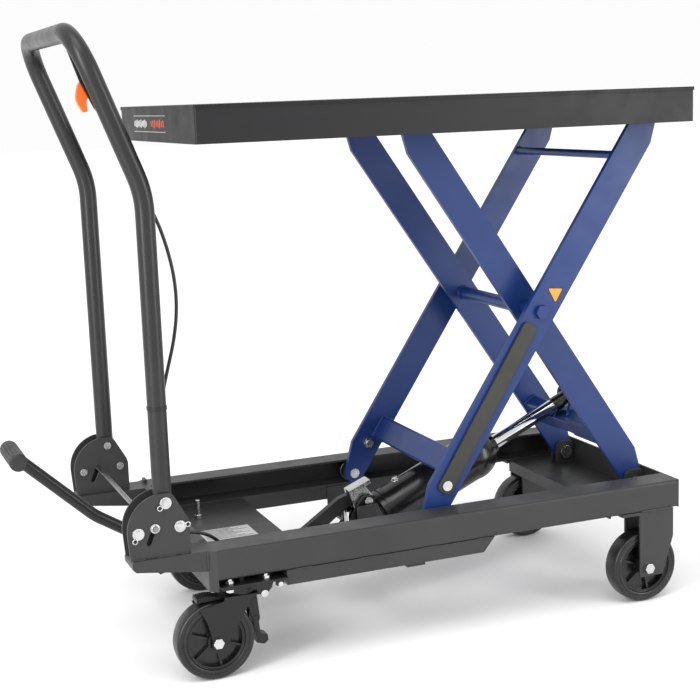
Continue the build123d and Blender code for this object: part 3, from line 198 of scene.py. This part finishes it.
def rubber(name, colour, roughness, grain):
    s = Surface(name)
    scuff = s.spread(s.noise(18.0, 5.0, roughness=0.65), 0.0, 1.0, 0.45, 0.75)
    s.set(Base_Color=s.mix(scuff, colour, tint(colour, 1.7)))
    s.set(Roughness=s.spread(s.noise(40.0, 3.0), roughness - 0.06, roughness + 0.1))
    normal, _ = s.edges(0.8 * MM)
    s.bump(s.noise(1100.0, 3.0), grain, 0.5, normal)
    return s.material


def moulded(name, colour, roughness, grain=0.04 * MM):
    """Injection-moulded plastic with a fine spark-eroded grain."""
    s = Surface(name)
    s.set(Base_Color=s.mix(s.spread(s.noise(8.0, 3.0), 0, 1), tint(colour, 0.9), tint(colour, 1.08)))
    s.set(Roughness=s.spread(s.noise(55.0, 3.0), roughness - 0.04, roughness + 0.06))
    normal, _ = s.edges(0.7 * MM)
    s.bump(s.noise(1400.0, 2.0), grain, 0.4, normal)
    return s.material


CHARCOAL = (0.026, 0.027, 0.026)
APRON = (0.008, 0.0082, 0.0092)
BLUE = (0.0045, 0.027, 0.135)
BLACK = (0.004, 0.004, 0.0044)
# painted reflection: the platform's top face and the top of its sides are painted near black for reflected
# dark surroundings; this is not a black sheet
REFLECTED_DARK_TOP = (0.003, 0.003, 0.0033)
DARK_REFLECTION_DEPTH = 6.5 * MM

platform_low, platform_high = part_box("platform_top")
dark_reflection_bottom = platform_high.z - DARK_REFLECTION_DEPTH

looks = {
    "charcoal": powder_coat("charcoal_powder_coat", CHARCOAL, 0.44, 0.05),
    # the platform's coat, with its top band painted near black as a painted dark reflection
    "platform": powder_coat(
        "platform_powder_coat_and_painted_reflection", APRON, 0.46, radius=0.8 * MM, top=(dark_reflection_bottom, REFLECTED_DARK_TOP)
    ),
    "handle": powder_coat("handle_powder_coat", tint(CHARCOAL, 0.5), 0.34, 0.12),
    "blue": powder_coat("blue_powder_coat", BLUE, 0.40, 0.12, edge_light=1.6),
    "prop": powder_coat("prop_bar_paint", (0.034, 0.034, 0.028), 0.50, edge_light=1.5),
    "black": powder_coat("black_gloss_paint", BLACK, 0.24, 0.30),
    "satin_black": powder_coat("black_satin_paint", tint(BLACK, 1.6), 0.38, 0.10),
    "zinc": bright_metal("zinc_plate", (0.66, 0.67, 0.66), 0.26, 0.02 * MM),
    "steel": bright_metal("bare_steel", (0.30, 0.30, 0.29), 0.34, 0.03 * MM),
    "dark_steel": bright_metal("blackened_steel", (0.10, 0.10, 0.105), 0.36, 0.03 * MM),
    "chrome": bright_metal("hard_chrome", (0.80, 0.81, 0.82), 0.07, 0.004 * MM),
    "tyre": rubber("tyre_rubber", (0.005, 0.005, 0.0049), 0.30, 0.02 * MM),
    "hub": moulded("wheel_nylon", (0.0045, 0.0045, 0.0045), 0.26),
    "pad": rubber("pad_rubber", (0.014, 0.014, 0.015), 0.46, 0.05 * MM),
    "jacket": moulded("cable_jacket", (0.008, 0.008, 0.009), 0.33, 0.02 * MM),
    "orange": moulded("orange_plastic", (0.80, 0.125, 0.006), 0.34),
    "label_silver": bright_metal("label_foil", (0.72, 0.72, 0.70), 0.35, 0.01 * MM, 0.2 * MM),
    "label_white": moulded("label_white_ink", (0.62, 0.62, 0.60), 0.45, 0.01 * MM),
    "label_red": moulded("label_orange_ink", (0.62, 0.07, 0.015), 0.45, 0.01 * MM),
    "label_black": moulded("label_black_film", (0.006, 0.006, 0.006), 0.35, 0.01 * MM),
    "label_amber": moulded("label_amber_ink", (0.85, 0.30, 0.015), 0.45, 0.01 * MM),
}

NODE_LOOKS = {
    "platform": ("platform_top", "platform_tracks_and_lugs"),
    "handle": ("handle_tube", "lever_bracket"),
    "blue": (
        "inner_arm_near", "inner_arm_far", "outer_arm_near", "outer_arm_far", "centre_tube",
        "cylinder_beam", "outer_spreaders", "inner_arm_pins",
    ),
    "prop": ("prop_bar_near", "prop_bar_far"),
    "black": ("cylinder_body", "rod_eye"),
    "satin_black": (
        "caster_plates", "swivel_fork_near", "swivel_fork_far", "brake_pedal_near",
        "brake_pedal_far", "pump_block", "handle_fasteners", "pedal_arm",
    ),
    "zinc": (
        "hinge_pins", "lock_rod_retainers", "base_fasteners", "base_pins", "platform_pins",
        "caster_axle_near", "caster_axle_far", "pedal_clevis", "outer_arm_pins",
    ),
    "steel": ("lock_rod",),
    "dark_steel": ("lower_rollers", "upper_rollers"),
    "chrome": ("piston_rod", "pump_plunger"),
    "hub": ("swivel_hub_near", "swivel_hub_far", "fixed_hub_near", "fixed_hub_far"),
    "orange": ("release_lever",),
}


def wear(thing, look):
    thing.data.materials.clear()
    thing.data.materials.append(looks[look])


look_of = {node: look for look, nodes in NODE_LOOKS.items() for node in nodes}
for name, node in frame["nodes"].items():
    wear(node, look_of.get(name, "charcoal"))


# ---- making and placing new pieces --------------------------------------------------------
SMOOTH_UNDER = radians(38)
WELD_DISTANCE = 0.001 * MM     # vertices nearer than this are one


def add_piece(name, vertices, faces, look, body, slot, replaced=()):
    """A closed mesh piece that rides on a body and wears the given look; the slot is not used."""
    mesh = bpy.data.meshes.new(name)
    mesh.from_pydata([tuple(v) for v in vertices], [], faces)
    build = bmesh.new()
    build.from_mesh(mesh)
    bmesh.ops.remove_doubles(build, verts=build.verts, dist=WELD_DISTANCE)
    bmesh.ops.recalc_face_normals(build, faces=build.faces)
    build.to_mesh(mesh)
    build.free()
    mesh.shade_smooth()
    mesh.set_sharp_from_angle(angle=SMOOTH_UNDER)
    thing = bpy.data.objects.new(name, mesh)
    bpy.context.collection.objects.link(thing)
    wear(thing, look)
    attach(thing, body)
    if replaced:
        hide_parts(*replaced)
    return thing


def basis(axis):
    """Two directions square to an axis and to each other."""
    axis = Vector(axis).normalized()
    helper = Vector((0, 0, 1)) if abs(axis.z) < 0.9 else Vector((1, 0, 0))
    first = axis.cross(helper).normalized()
    return first, axis.cross(first)


def turned(profile, centre, axis, steps=64, closed=False, shape=None):
    """A profile of (radius, distance along the axis), turned round an axis.

    shape, if given, scales the radius by angle and distance, for flutes and ribs.
    """
    axis = Vector(axis).normalized()
    first, second = basis(axis)
    count = len(profile)
    vertices = []
    for step in range(steps):
        angle = 2 * pi * step / steps
        out = first * cos(angle) + second * sin(angle)
        for radius, along in profile:
            scale = shape(angle, along) if shape else 1.0
            vertices.append(Vector(centre) + out * radius * scale + axis * along)
    faces = []
    for step in range(steps):
        here = step * count
        there = (step + 1) % steps * count
        for index in range(count if closed else count - 1):
            after = (index + 1) % count
            faces.append((here + index, here + after, there + after, there + index))
    return vertices, faces


def rounded(radius, half, corner, steps=5):
    """Half profile of a short round bar with rounded ends, from axis to axis."""
    points = [(0.0, -half)]
    for index in range(steps + 1):
        a = pi / 2 * index / steps
        points.append((radius - corner + corner * sin(a), -half + corner - corner * cos(a)))
    return points + [(r, -t) for r, t in reversed(points)]


def block(low, high):
    """Corners and faces of a box, for flat labels and strips."""
    corners = [
        Vector((x, y, z))
        for x in (low[0], high[0])
        for y in (low[1], high[1])
        for z in (low[2], high[2])
    ]
    faces = [
        (0, 1, 3, 2), (4, 6, 7, 5), (0, 4, 5, 1), (2, 3, 7, 6), (0, 2, 6, 4), (1, 5, 7, 3),
    ]
    return corners, faces


def joined(parts):
    """Several (vertices, faces) as one."""
    vertices = []
    faces = []
    for more_vertices, more_faces in parts:
        start = len(vertices)
        vertices += more_vertices
        faces += [tuple(start + index for index in face) for face in more_faces]
    return vertices, faces


# ---- weld beads ---------------------------------------------------------------------------
BEAD_STEP = 1.1 * MM
BEAD_SIDES = 8
RIPPLE = 3.4 * MM              # distance from one ripple of a weld to the next
RIPPLE_DEPTH = 0.10            # of the bead's radius
WANDER_DEPTH = 0.07
WANDER = 910.0                 # radians a metre, out of step with the ripples
END_SHARE = 0.35               # a bead tapers to this share of its radius at its ends


def bead(points, radius, closed=False):
    """A rippled weld bead along a path of points."""
    path = [Vector(p) for p in points]
    if closed:
        path.append(path[0])
    places = []
    travelled = 0.0
    for start, end in zip(path, path[1:]):
        steps = max(1, round((end - start).length / BEAD_STEP))
        for step in range(steps):
            places.append((start.lerp(end, step / steps), (end - start).normalized(), travelled))
            travelled += (end - start).length / steps
    if not closed:
        places.append((path[-1], (path[-1] - path[-2]).normalized(), travelled))
    vertices = []
    for place, along, distance in places:
        first, second = basis(along)
        ripple = 1.0 + RIPPLE_DEPTH * cos(2 * pi * distance / RIPPLE) + WANDER_DEPTH * sin(distance * WANDER)
        ends = 1.0
        if not closed:
            from_end = min(distance, travelled - distance)
            ends = min(1.0, END_SHARE + from_end / (1.5 * radius))
        for side in range(BEAD_SIDES):
            a = 2 * pi * side / BEAD_SIDES
            vertices.append(place + (first * cos(a) + second * sin(a)) * radius * ripple * ends)
    faces = []
    rings = len(places)
    for ring in range(rings if closed else rings - 1):
        here = ring * BEAD_SIDES
        there = (ring + 1) % rings * BEAD_SIDES
        for side in range(BEAD_SIDES):
            after = (side + 1) % BEAD_SIDES
            faces.append((here + side, here + after, there + after, there + side))
    if not closed:
        faces.append(tuple(reversed(range(BEAD_SIDES))))
        faces.append(tuple((rings - 1) * BEAD_SIDES + side for side in range(BEAD_SIDES)))
    return vertices, faces


def circle_y(centre, radius, y, steps=36):
    """Points of a circle round an axis along Y, about a centre (x, z)."""
    points = []
    for step in range(steps):
        a = 2 * pi * step / steps
        points.append((centre[0] + radius * cos(a), y, centre[1] + radius * sin(a)))
    return points


def along_arm(pivot, direction, along, across):
    """A point in the arm's plane, by its distance along the arm and across it."""
    turn = Vector((-direction.y, direction.x))
    return Vector((pivot[0], pivot[2])) + direction * along + turn * across


def rectangle_y(pivot, direction, centre, size, y):
    """Corners of a rectangle in the arm's plane, its sides along and across the arm."""
    corners = []
    for u, v in ((-1, -1), (1, -1), (1, 1), (-1, 1)):
        spot = along_arm(pivot, direction, centre[0] + u * size[0] / 2, centre[1] + v * size[1] / 2)
        corners.append((spot.x, y, spot.y))
    return corners


lift_pivot = joints["lift"]["pos_m"]
scissor_centre = joints["scissor_centre"]["pos_m"]
roller_pivot = joints["lower_roller_spin"]["pos_m"]
BEAM_CENTRE = (125 * MM, 3 * MM)           # along and across the inner arm, from its pivot
BEAM_SIZE = (50 * MM, 30 * MM)
SPREADER_CENTRE = (109 * MM, -9 * MM)      # along and across the outer arm, from its roller
SPREADER_SIZE = (50 * MM, 28 * MM)
SPREADER_BAR_RADIUS = 7.5 * MM


def towards_centre(pivot):
    """The direction in (x, z) from an arm's pivot to the scissor's centre."""
    return Vector((scissor_centre[0] - pivot[0], scissor_centre[2] - pivot[2])).normalized()


def outlined(corners, radius):
    """A bead along each side of an outline."""
    return [bead((start, end), radius) for start, end in zip(corners, corners[1:] + corners[:1])]


def arm_welds():
    """Beads where the tubes and beams between the arms meet them."""
    tube_low, tube_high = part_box("centre_tube")
    tube_radius = (tube_high.z - tube_low.z) / 2
    middle = ((tube_low.x + tube_high.x) / 2, (tube_low.z + tube_high.z) / 2)
    bar_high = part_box("outer_spreaders")[1]
    bar = (bar_high.x - SPREADER_BAR_RADIUS, bar_high.z - SPREADER_BAR_RADIUS)
    inner = []
    outer = []
    for side in (-1, 1):
        y = side * (tube_high.y - 1.2 * MM)
        inner.append(bead(circle_y(middle, tube_radius, y), 2.2 * MM, closed=True))
        corners = rectangle_y(lift_pivot, towards_centre(lift_pivot), BEAM_CENTRE, BEAM_SIZE, y)
        inner += outlined(corners, 2.4 * MM)
        y = side * (bar_high.y - 1.0 * MM)
        outer.append(bead(circle_y(bar, SPREADER_BAR_RADIUS, y), 1.9 * MM, closed=True))
        corners = rectangle_y(
            roller_pivot, towards_centre(roller_pivot), SPREADER_CENTRE, SPREADER_SIZE, y
        )
        outer += outlined(corners, 2.3 * MM)
    add_piece("inner_arm_welds", *joined(inner), "blue", "inner_arms", "blue_paint")
    add_piece("outer_arm_welds", *joined(outer), "blue", "outer_arms", "blue_paint")


FORK_TOP_LENGTH = 72 * MM
HINGE_WELDS = ((5, 29), (51, 81), (89, 104))    # starts and ends along a hinge plate, mm
TROUGH_WELDS = (0.04, 0.34, 0.64, 0.90)         # starts, as shares of the trough's length
TROUGH_WELD_LENGTH = 30 * MM


def frame_welds():
    """Beads of the base frame: forks, handle brackets, hinge plates and the rails' troughs."""
    beads = []
    fork_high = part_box("fixed_forks")[1]
    rail_low, rail_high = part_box("rail_near")
    plate_low, plate_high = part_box("hinge_plates")
    bracket_low, bracket_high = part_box("handle_brackets")
    trough_low, trough_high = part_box("lower_rails")
    for side in (-1, 1):
        y = side * (fork_high.y - 0.6 * MM)
        z = rail_low.z + 0.6 * MM
        left = fork_high.x - FORK_TOP_LENGTH
        beads.append(bead(((left, y, z), (fork_high.x - 2 * MM, y, z)), 2.6 * MM))
        y = side * bracket_high.y
        bottom = (bracket_high.x, y, bracket_low.z + 2 * MM)
        top = (bracket_high.x, y, bracket_high.z - 2 * MM)
        beads.append(bead((bottom, top), 2.4 * MM))
        y = side * plate_high.y
        z = rail_high.z + 0.4 * MM
        for start, end in HINGE_WELDS:
            left = plate_low.x + start * MM
            right = plate_low.x + end * MM
            beads.append(bead(((left, y, z), (right, y, z)), 2.0 * MM))
        y = side * (trough_high.y + 0.1 * MM)
        z = rail_low.z
        for share in TROUGH_WELDS:
            left = trough_low.x + share * (trough_high.x - trough_low.x)
            beads.append(bead(((left, y, z), (left + TROUGH_WELD_LENGTH, y, z)), 1.5 * MM))
    add_piece("frame_welds", *joined(beads), "charcoal", "base", "charcoal_paint")


# ---- wheels -------------------------------------------------------------------------------
CROWN_DROP = 0.7 * MM          # how far the tread has fallen where the shoulder starts
SHOULDER_START = 0.62          # of the tyre's half width
SHOULDER_RADIUS = 6.0 * MM
SHOULDER_STEPS = 6
SIDE_RING = 7.5 * MM           # the ring moulded in the side, from the bore
LIP_SIDES = 10
LIP_PLACE = 15.2 * MM          # the hub's lip, from the wheel's middle plane
WHEEL_STEPS = 96


def tyre_profile(radius, half, bore):
    """Closed section of a tyre: crowned tread, round shoulders, and a ring on each side."""
    flat = half * SHOULDER_START
    side = [
        (radius, 0.0),
        (radius - 0.15 * MM, half * 0.35),
        (radius - CROWN_DROP, flat),
    ]
    reach = half - flat - 0.2 * MM
    for index in range(1, SHOULDER_STEPS + 1):
        a = pi / 2 * index / SHOULDER_STEPS
        fall = SHOULDER_RADIUS * (1 - cos(a))
        side.append((radius - CROWN_DROP - fall, flat + reach * sin(a)))
    ring = bore + SIDE_RING
    side += [
        (ring + 1.2 * MM, half - 0.6 * MM),
        (ring + 0.5 * MM, half - 1.5 * MM),
        (ring - 0.5 * MM, half - 1.5 * MM),
        (ring - 1.2 * MM, half - 0.6 * MM),
        (bore + 3.0 * MM, half - 0.4 * MM),
        (bore + 1.0 * MM, half - 1.0 * MM),
        (bore, half - 2.4 * MM),
    ]
    return side + [(r, -t) for r, t in reversed(side[1:])]


def lip_profile(bore, face):
    """Closed section of the round lip on one side of a hub."""
    ring = []
    for index in range(LIP_SIDES):
        a = 2 * pi * index / LIP_SIDES
        out = bore - 1.2 * MM + 1.3 * MM * cos(a)
        ring.append((out, face * LIP_PLACE + 1.0 * MM * sin(a)))
    return ring


def tyres():
    for kind in ("swivel", "fixed"):
        for side in ("near", "far"):
            node = f"{kind}_tyre_{side}"
            body = f"{kind}_wheel_{side}"
            low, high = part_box(node)
            hub_low, hub_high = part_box(f"{kind}_hub_{side}")
            centre = (low + high) / 2
            radius = (high.z - low.z) / 2
            bore = (hub_high.z - hub_low.z) / 2
            profile = tyre_profile(radius, (high.y - low.y) / 2, bore)
            mesh = turned(profile, centre, (0, 1, 0), WHEEL_STEPS, closed=True)
            name = f"moulded_tyre_{kind}_{side}"
            add_piece(name, *mesh, "tyre", body, "tyre_rubber", (node,))
            lips = [
                turned(lip_profile(bore, face), centre, (0, 1, 0), WHEEL_STEPS, closed=True)
                for face in (-1, 1)
            ]
            add_piece(f"rim_lip_{kind}_{side}", *joined(lips), "hub", body, "hub_plastic")


# ---- pedal sleeve -------------------------------------------------------------------------
FLUTES = 16
FLUTE_DEPTH = 0.10             # of the sleeve's radius
FLUTE_END = 5 * MM             # plain rubber left at each end
SLEEVE_CORNER = 3.5 * MM
SLEEVE_ROWS = 24
CORNER_STEPS = 5


def pedal_sleeve():
    low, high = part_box("pedal_pad")
    centre = (low + high) / 2
    half = (high.y - low.y) / 2
    radius = (high.z - low.z) / 2
    corner = SLEEVE_CORNER
    end = [(0.0, -half)]
    for index in range(CORNER_STEPS + 1):
        a = pi / 2 * index / CORNER_STEPS
        end.append((radius - corner * (1 - sin(a)), -half + corner * (1 - cos(a))))
    rows = [
        (radius, -half + corner + (2 * half - 2 * corner) * index / SLEEVE_ROWS)
        for index in range(1, SLEEVE_ROWS)
    ]
    profile = end + rows + [(r, -t) for r, t in reversed(end)]

    def fluted(angle, along):
        inner = max(0.0, 1.0 - (abs(along) / (half - FLUTE_END)) ** 12)
        groove = max(0.0, cos(FLUTES * angle)) ** 0.6
        return 1.0 - FLUTE_DEPTH * groove * inner

    mesh = turned(profile, centre, (0, 1, 0), FLUTES * 12, shape=fluted)
    add_piece("fluted_pedal_sleeve", *mesh, "pad", "foot_pedal", "pad_rubber", ("pedal_pad",))


# ---- plain labels -------------------------------------------------------------------------
FOIL = 0.25 * MM
LABEL_TOP = 17.3 * MM          # the foil lines, down from the platform's top
LABEL_BOTTOM = 45.4 * MM
LABEL_FAR = 156 * MM
LABEL_NEAR = -72 * MM
BAR_WIDTH = 5.0 * MM
BAR_ROW = 0.42                 # length of a row of bars, of the label's length
END_FACE = 1.5 * MM            # the apron's face, in from the platform's top sheet


def platform_label():
    """Two foil lines and two rows of plain bars on the platform's handle end."""
    x = platform_low.x + END_FACE
    top = platform_high.z - LABEL_TOP
    bottom = platform_high.z - LABEL_BOTTOM
    lines = [
        block((x - FOIL, LABEL_NEAR, z - 0.6 * MM), (x + FOIL, LABEL_FAR, z + 0.6 * MM))
        for z in (top, bottom)
    ]
    add_piece("label_lines", *joined(lines), "label_silver", "platform", SLOT_OF_LABEL)
    span = LABEL_FAR - LABEL_NEAR
    middle = (top + bottom) / 2
    for name, look, start, count in (
        ("label_bars_white", "label_white", 0.02, 10),
        ("label_bars_orange", "label_red", 0.56, 8),
    ):
        bars = []
        for index in range(count):
            y = LABEL_FAR - span * start - span * BAR_ROW * index / count
            half = (9.5 + 2.5 * (index % 3)) * MM / 2
            low = (x - FOIL, y - BAR_WIDTH, middle - half)
            high = (x + FOIL, y, middle + half)
            bars.append(block(low, high))
        add_piece(name, *joined(bars), look, "platform", SLOT_OF_LABEL)


PLATE_LEFT = 42 * MM           # the rating plate, from the deck's handle end
PLATE_LENGTH = 100 * MM
PLATE_NEAR = -42 * MM
PLATE_FAR = 26 * MM
DECK_TOP = 24 * MM             # the deck's upper face, from the lowest point of its lips
RULES = 9
RULE_PITCH = 7 * MM
RULE_MARGIN = 6 * MM
RULE_WIDTH = 1.8 * MM


def deck_plate_label():
    """A blank rating plate with plain rules, stuck to the floor plate."""
    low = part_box("deck_plates")[0]
    left = low.x + PLATE_LEFT
    right = left + PLATE_LENGTH
    z = low.z + DECK_TOP
    plate = block((left, PLATE_NEAR, z - 0.2 * MM), (right, PLATE_FAR, z + 0.4 * MM))
    add_piece("rating_plate", *plate, "label_silver", "base", SLOT_OF_LABEL)
    rules = []
    for row in range(RULES):
        y = PLATE_NEAR + RULE_MARGIN + RULE_PITCH * row
        end = right - (8 + 14 * (row % 3)) * MM
        rule_low = (left + RULE_MARGIN, y, z + 0.3 * MM)
        rules.append(block(rule_low, (end, y + RULE_WIDTH, z + 0.5 * MM)))
    add_piece("rating_plate_rules", *joined(rules), "label_black", "base", SLOT_OF_LABEL)


def prism(outline, y0, y1):
    """A flat piece: an outline of (x, z), from y0 to y1."""
    count = len(outline)
    vertices = [Vector((x, y, z)) for y in (y0, y1) for x, z in outline]
    faces = [tuple(range(count)), tuple(reversed(range(count, 2 * count)))]
    for index in range(count):
        after = (index + 1) % count
        faces.append((index, after, count + after, count + index))
    return vertices, faces


def rounded_triangle(corners, radius, steps=5):
    """An outline with each corner of a triangle rounded."""
    points = []
    count = len(corners)
    for index in range(count):
        here = Vector(corners[index])
        before = (Vector(corners[index - 1]) - here).normalized()
        after = (Vector(corners[(index + 1) % count]) - here).normalized()
        for step in range(steps + 1):
            share = step / steps
            start, end = here + before * radius, here + after * radius
            points.append(start.lerp(here, share).lerp(here.lerp(end, share), share))
    return [(point.x, point.y) for point in points]


SIGN_CORNERS = ((13, 44), (47, 41), (29.6, 12.5))    # from the scissor's centre, mm
FIELD_SHARE = 0.86             # the amber field's size, of the sign's


def arm_sign():
    """A plain amber triangle on the near outer arm, with a dark border."""
    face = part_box("outer_arm_near")[0].y
    centre = Vector((scissor_centre[0], scissor_centre[2]))
    corners = [centre + Vector(corner) * MM for corner in SIGN_CORNERS]
    middle = (corners[0] + corners[1] + corners[2]) / 3
    inside = [middle + (corner - middle) * FIELD_SHARE for corner in corners]
    film = prism(rounded_triangle(corners, 5 * MM), face - 0.25 * MM, face + 0.1 * MM)
    field = prism(rounded_triangle(inside, 3.5 * MM), face - 0.4 * MM, face)
    add_piece("arm_sign_border", *film, "label_black", "outer_arms", "black_paint")
    add_piece("arm_sign_field", *field, "label_amber", "outer_arms", "orange_plastic")


# ---- small fittings -----------------------------------------------------------------------
SCREW_ALONG = 81 * MM          # from the cylinder's pivot, along it and out from its axis
SCREW_OUT = 47 * MM


def tank_screw():
    """The oil filler screw on top of the tank."""
    pivot = Vector(joints["cylinder_tilt"]["pos_m"])
    along = Vector(joints["piston_slide"]["axis"])
    out = Vector((-along.z, 0, along.x))
    centre = pivot + along * SCREW_ALONG + out * SCREW_OUT
    washer = turned(rounded(7.5 * MM, 1.2 * MM, 0.6 * MM), centre - out * 1.6 * MM, out, 36)

    def six_sided(angle, _):
        from_flat = (angle + pi / 6) % (pi / 3) - pi / 6
        return 0.88 / cos(from_flat)

    head = turned(rounded(6.0 * MM, 2.4 * MM, 0.8 * MM), centre + out * 1.6 * MM, out, 72, shape=six_sided)
    add_piece("tank_filler_screw", *joined((washer, head)), "zinc", "cylinder", "zinc")


RIBS = 9
RIB_START = 50 * MM            # from the swivel's axis
RIB_PITCH = 3.6 * MM
RIB_WIDTH = 2.8 * MM
RIB_HALF_LENGTH = 14 * MM
CAP_START = 34 * MM
CAP_END = 82.4 * MM
CAP_HALF_WIDTH = 13 * MM
TYRE_CLEARANCE = 1.2 * MM


def brake_housings():
    """Ribbed black housing over each swivel fork's tail."""
    for side, turn in (("near", 1), ("far", -1)):
        pivot = Vector(joints[f"caster_swivel_{side}"]["pos_m"])
        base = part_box(f"swivel_tyre_{side}")[1].z + TYRE_CLEARANCE
        parts = []
        for index in range(RIBS):
            start = pivot.x - turn * (RIB_START + RIB_PITCH * index)
            end = start - turn * RIB_WIDTH
            height = (7.5 + 1.6 * sin(pi * index / (RIBS - 1))) * MM
            low = (min(start, end), pivot.y - RIB_HALF_LENGTH, base)
            high = (max(start, end), pivot.y + RIB_HALF_LENGTH, base + height)
            parts.append(block(low, high))
        start = pivot.x - turn * CAP_START
        end = pivot.x - turn * CAP_END
        low = (min(start, end), pivot.y - CAP_HALF_WIDTH, base - 0.4 * MM)
        high = (max(start, end), pivot.y + CAP_HALF_WIDTH, base + 5 * MM)
        parts.append(block(low, high))
        name = f"brake_housing_{side}"
        add_piece(name, *joined(parts), "satin_black", f"swivel_{side}", "black_paint")


# ---- release cable ------------------------------------------------------------------------
DATUM_X = -323.5               # the routes' datum, as it lies in the frame
DATUM_Z = 5.5
CABLE_DIAMETER = 6.0 * MM
CABLE_Y = -201.0
HINGE_INNER_Y = 203.5
UPPER_CABLE = (
    (-130, CABLE_Y + 2, 965),
    (-118, CABLE_Y + 2, 925),
    (-102, CABLE_Y + 2, 880),
    (-82, CABLE_Y + 1, 838),
    (-57, CABLE_Y, 792),
    (-41, CABLE_Y + 1, 742),
    (-31, CABLE_Y + 1, 690),
    (-30, CABLE_Y, 638),
    (-38, CABLE_Y, 586),
    (-53, CABLE_Y - 1, 536),
    (-66, CABLE_Y, 486),
    (-74, CABLE_Y + 3, 432),
    (-79, CABLE_Y + 5, 378),
    (-80, 8 - HINGE_INNER_Y, 322.6),
)
LOWER_CABLE = (
    (-80, 8 - HINGE_INNER_Y, 321.4),
    (-78, 9 - HINGE_INNER_Y, 288),
    (-66, 13 - HINGE_INNER_Y, 263),
    (-43, 20 - HINGE_INNER_Y, 249),
    (-14, 28 - HINGE_INNER_Y, 243),
    (15, 36 - HINGE_INNER_Y, 231),
    (40, 44 - HINGE_INNER_Y, 206),
    (72, 54 - HINGE_INNER_Y, 187),
    (116, 69 - HINGE_INNER_Y, 182.5),
    (165, 90 - HINGE_INNER_Y, 183.5),
    (206, 117 - HINGE_INNER_Y, 182.5),
    (243, 148 - HINGE_INNER_Y, 172),
    (276, 171 - HINGE_INNER_Y, 157),
    (308.5, -19, 153),
)


def cable(name, route, body, node):
    """One run of the release cable's sheath, as a smooth spline near the route's points."""
    curve = bpy.data.curves.new(name, "CURVE")
    curve.dimensions = "3D"
    curve.bevel_depth = CABLE_DIAMETER / 2
    curve.bevel_resolution = 5
    curve.resolution_u = 16
    curve.use_fill_caps = True
    spline = curve.splines.new("NURBS")
    spline.points.add(len(route) - 1)
    points = [((x + DATUM_X) * MM, y * MM, (z + DATUM_Z) * MM) for x, y, z in route]
    for point, place in zip(spline.points, points):
        point.co = (*place, 1.0)
    spline.order_u = 3
    spline.use_endpoint_u = True
    thing = bpy.data.objects.new(name, curve)
    bpy.context.collection.objects.link(thing)
    wear(thing, "jacket")
    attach(thing, body)
    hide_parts(node)


cable("release_sheath_upper", UPPER_CABLE, "handle", "release_cable_upper")
cable("release_sheath_lower", LOWER_CABLE, "base", "release_cable_lower")
arm_welds()
frame_welds()
tyres()
pedal_sleeve()
platform_label()
deck_plate_label()
arm_sign()
tank_screw()
brake_housings()


# ---- floor, light and camera --------------------------------------------------------------
PAPER_SIZE = 60.0
PAPER_DARK = (0.86, 0.86, 0.86)
PAPER_LIGHT = (0.88, 0.88, 0.88)
SKY_STRENGTH = 0.98
STRIP_SIZE = (0.6, 2.4)
STRIP_TARGET = (0.0, 0.0, 0.5)


def strip_light(name, place, power):
    data = bpy.data.lights.new(name, "AREA")
    data.shape = "RECTANGLE"
    data.size = STRIP_SIZE[0]
    data.size_y = STRIP_SIZE[1]
    data.energy = power
    lamp = bpy.data.objects.new(name, data)
    lamp.location = place
    aim = Vector(STRIP_TARGET) - Vector(place)
    lamp.rotation_euler = aim.to_track_quat("-Z", "Y").to_euler()
    bpy.context.collection.objects.link(lamp)


def sun(name, direction, strength, angle):
    data = bpy.data.lights.new(name, "SUN")
    data.energy = strength
    data.angle = radians(angle)
    lamp = bpy.data.objects.new(name, data)
    lamp.rotation_euler = Vector(direction).to_track_quat("-Z", "Y").to_euler()
    bpy.context.collection.objects.link(lamp)


def studio():
    bpy.ops.mesh.primitive_plane_add(size=PAPER_SIZE, location=(0, 0, 0))
    floor = bpy.context.object
    floor.name = "studio_floor"
    s = Surface("studio_paper")
    s.set(Base_Color=s.mix(s.spread(s.noise(1.5, 2.0), 0, 1), PAPER_DARK, PAPER_LIGHT))
    s.set(Roughness=0.8, Specular_IOR_Level=0.1)
    floor.data.materials.append(s.material)
    world = bpy.data.worlds.new("studio_sky")
    world.use_nodes = True
    background = world.node_tree.nodes["Background"]
    background.inputs["Color"].default_value = (1, 1, 1, 1)
    background.inputs["Strength"].default_value = SKY_STRENGTH
    bpy.context.scene.world = world
    sun("overhead", (0.25, 0.35, -1.0), 1.1, 40)
    strip_light("left_strip", (-2.6, -1.6, 1.5), 60)
    strip_light("right_strip", (2.4, -2.6, 1.2), 40)
    view = bpy.context.scene.view_settings
    view.view_transform = "Standard"
    view.look = "None"


CAMERA_PLACE = (-0.9426, -2.468, 0.9795)
CAMERA_TURN = 21.54            # degrees, from +Y towards +X
CAMERA_TILT = -10.15
CAMERA_ROLL = -2.07
CAMERA_LENS = 72.77


def camera():
    data = bpy.data.cameras.new("camera")
    data.lens = CAMERA_LENS
    data.sensor_width = 36.0
    data.clip_end = 60.0
    view = bpy.data.objects.new("camera", data)
    turn = Euler((0, 0, radians(-CAMERA_TURN))).to_matrix()
    tilt = Euler((radians(90 + CAMERA_TILT), 0, 0)).to_matrix()
    roll = Euler((0, 0, radians(CAMERA_ROLL))).to_matrix()
    view.matrix_world = Matrix.Translation(CAMERA_PLACE) @ (turn @ tilt @ roll).to_4x4()
    bpy.context.collection.objects.link(view)
    bpy.context.scene.camera = view


studio()
camera()
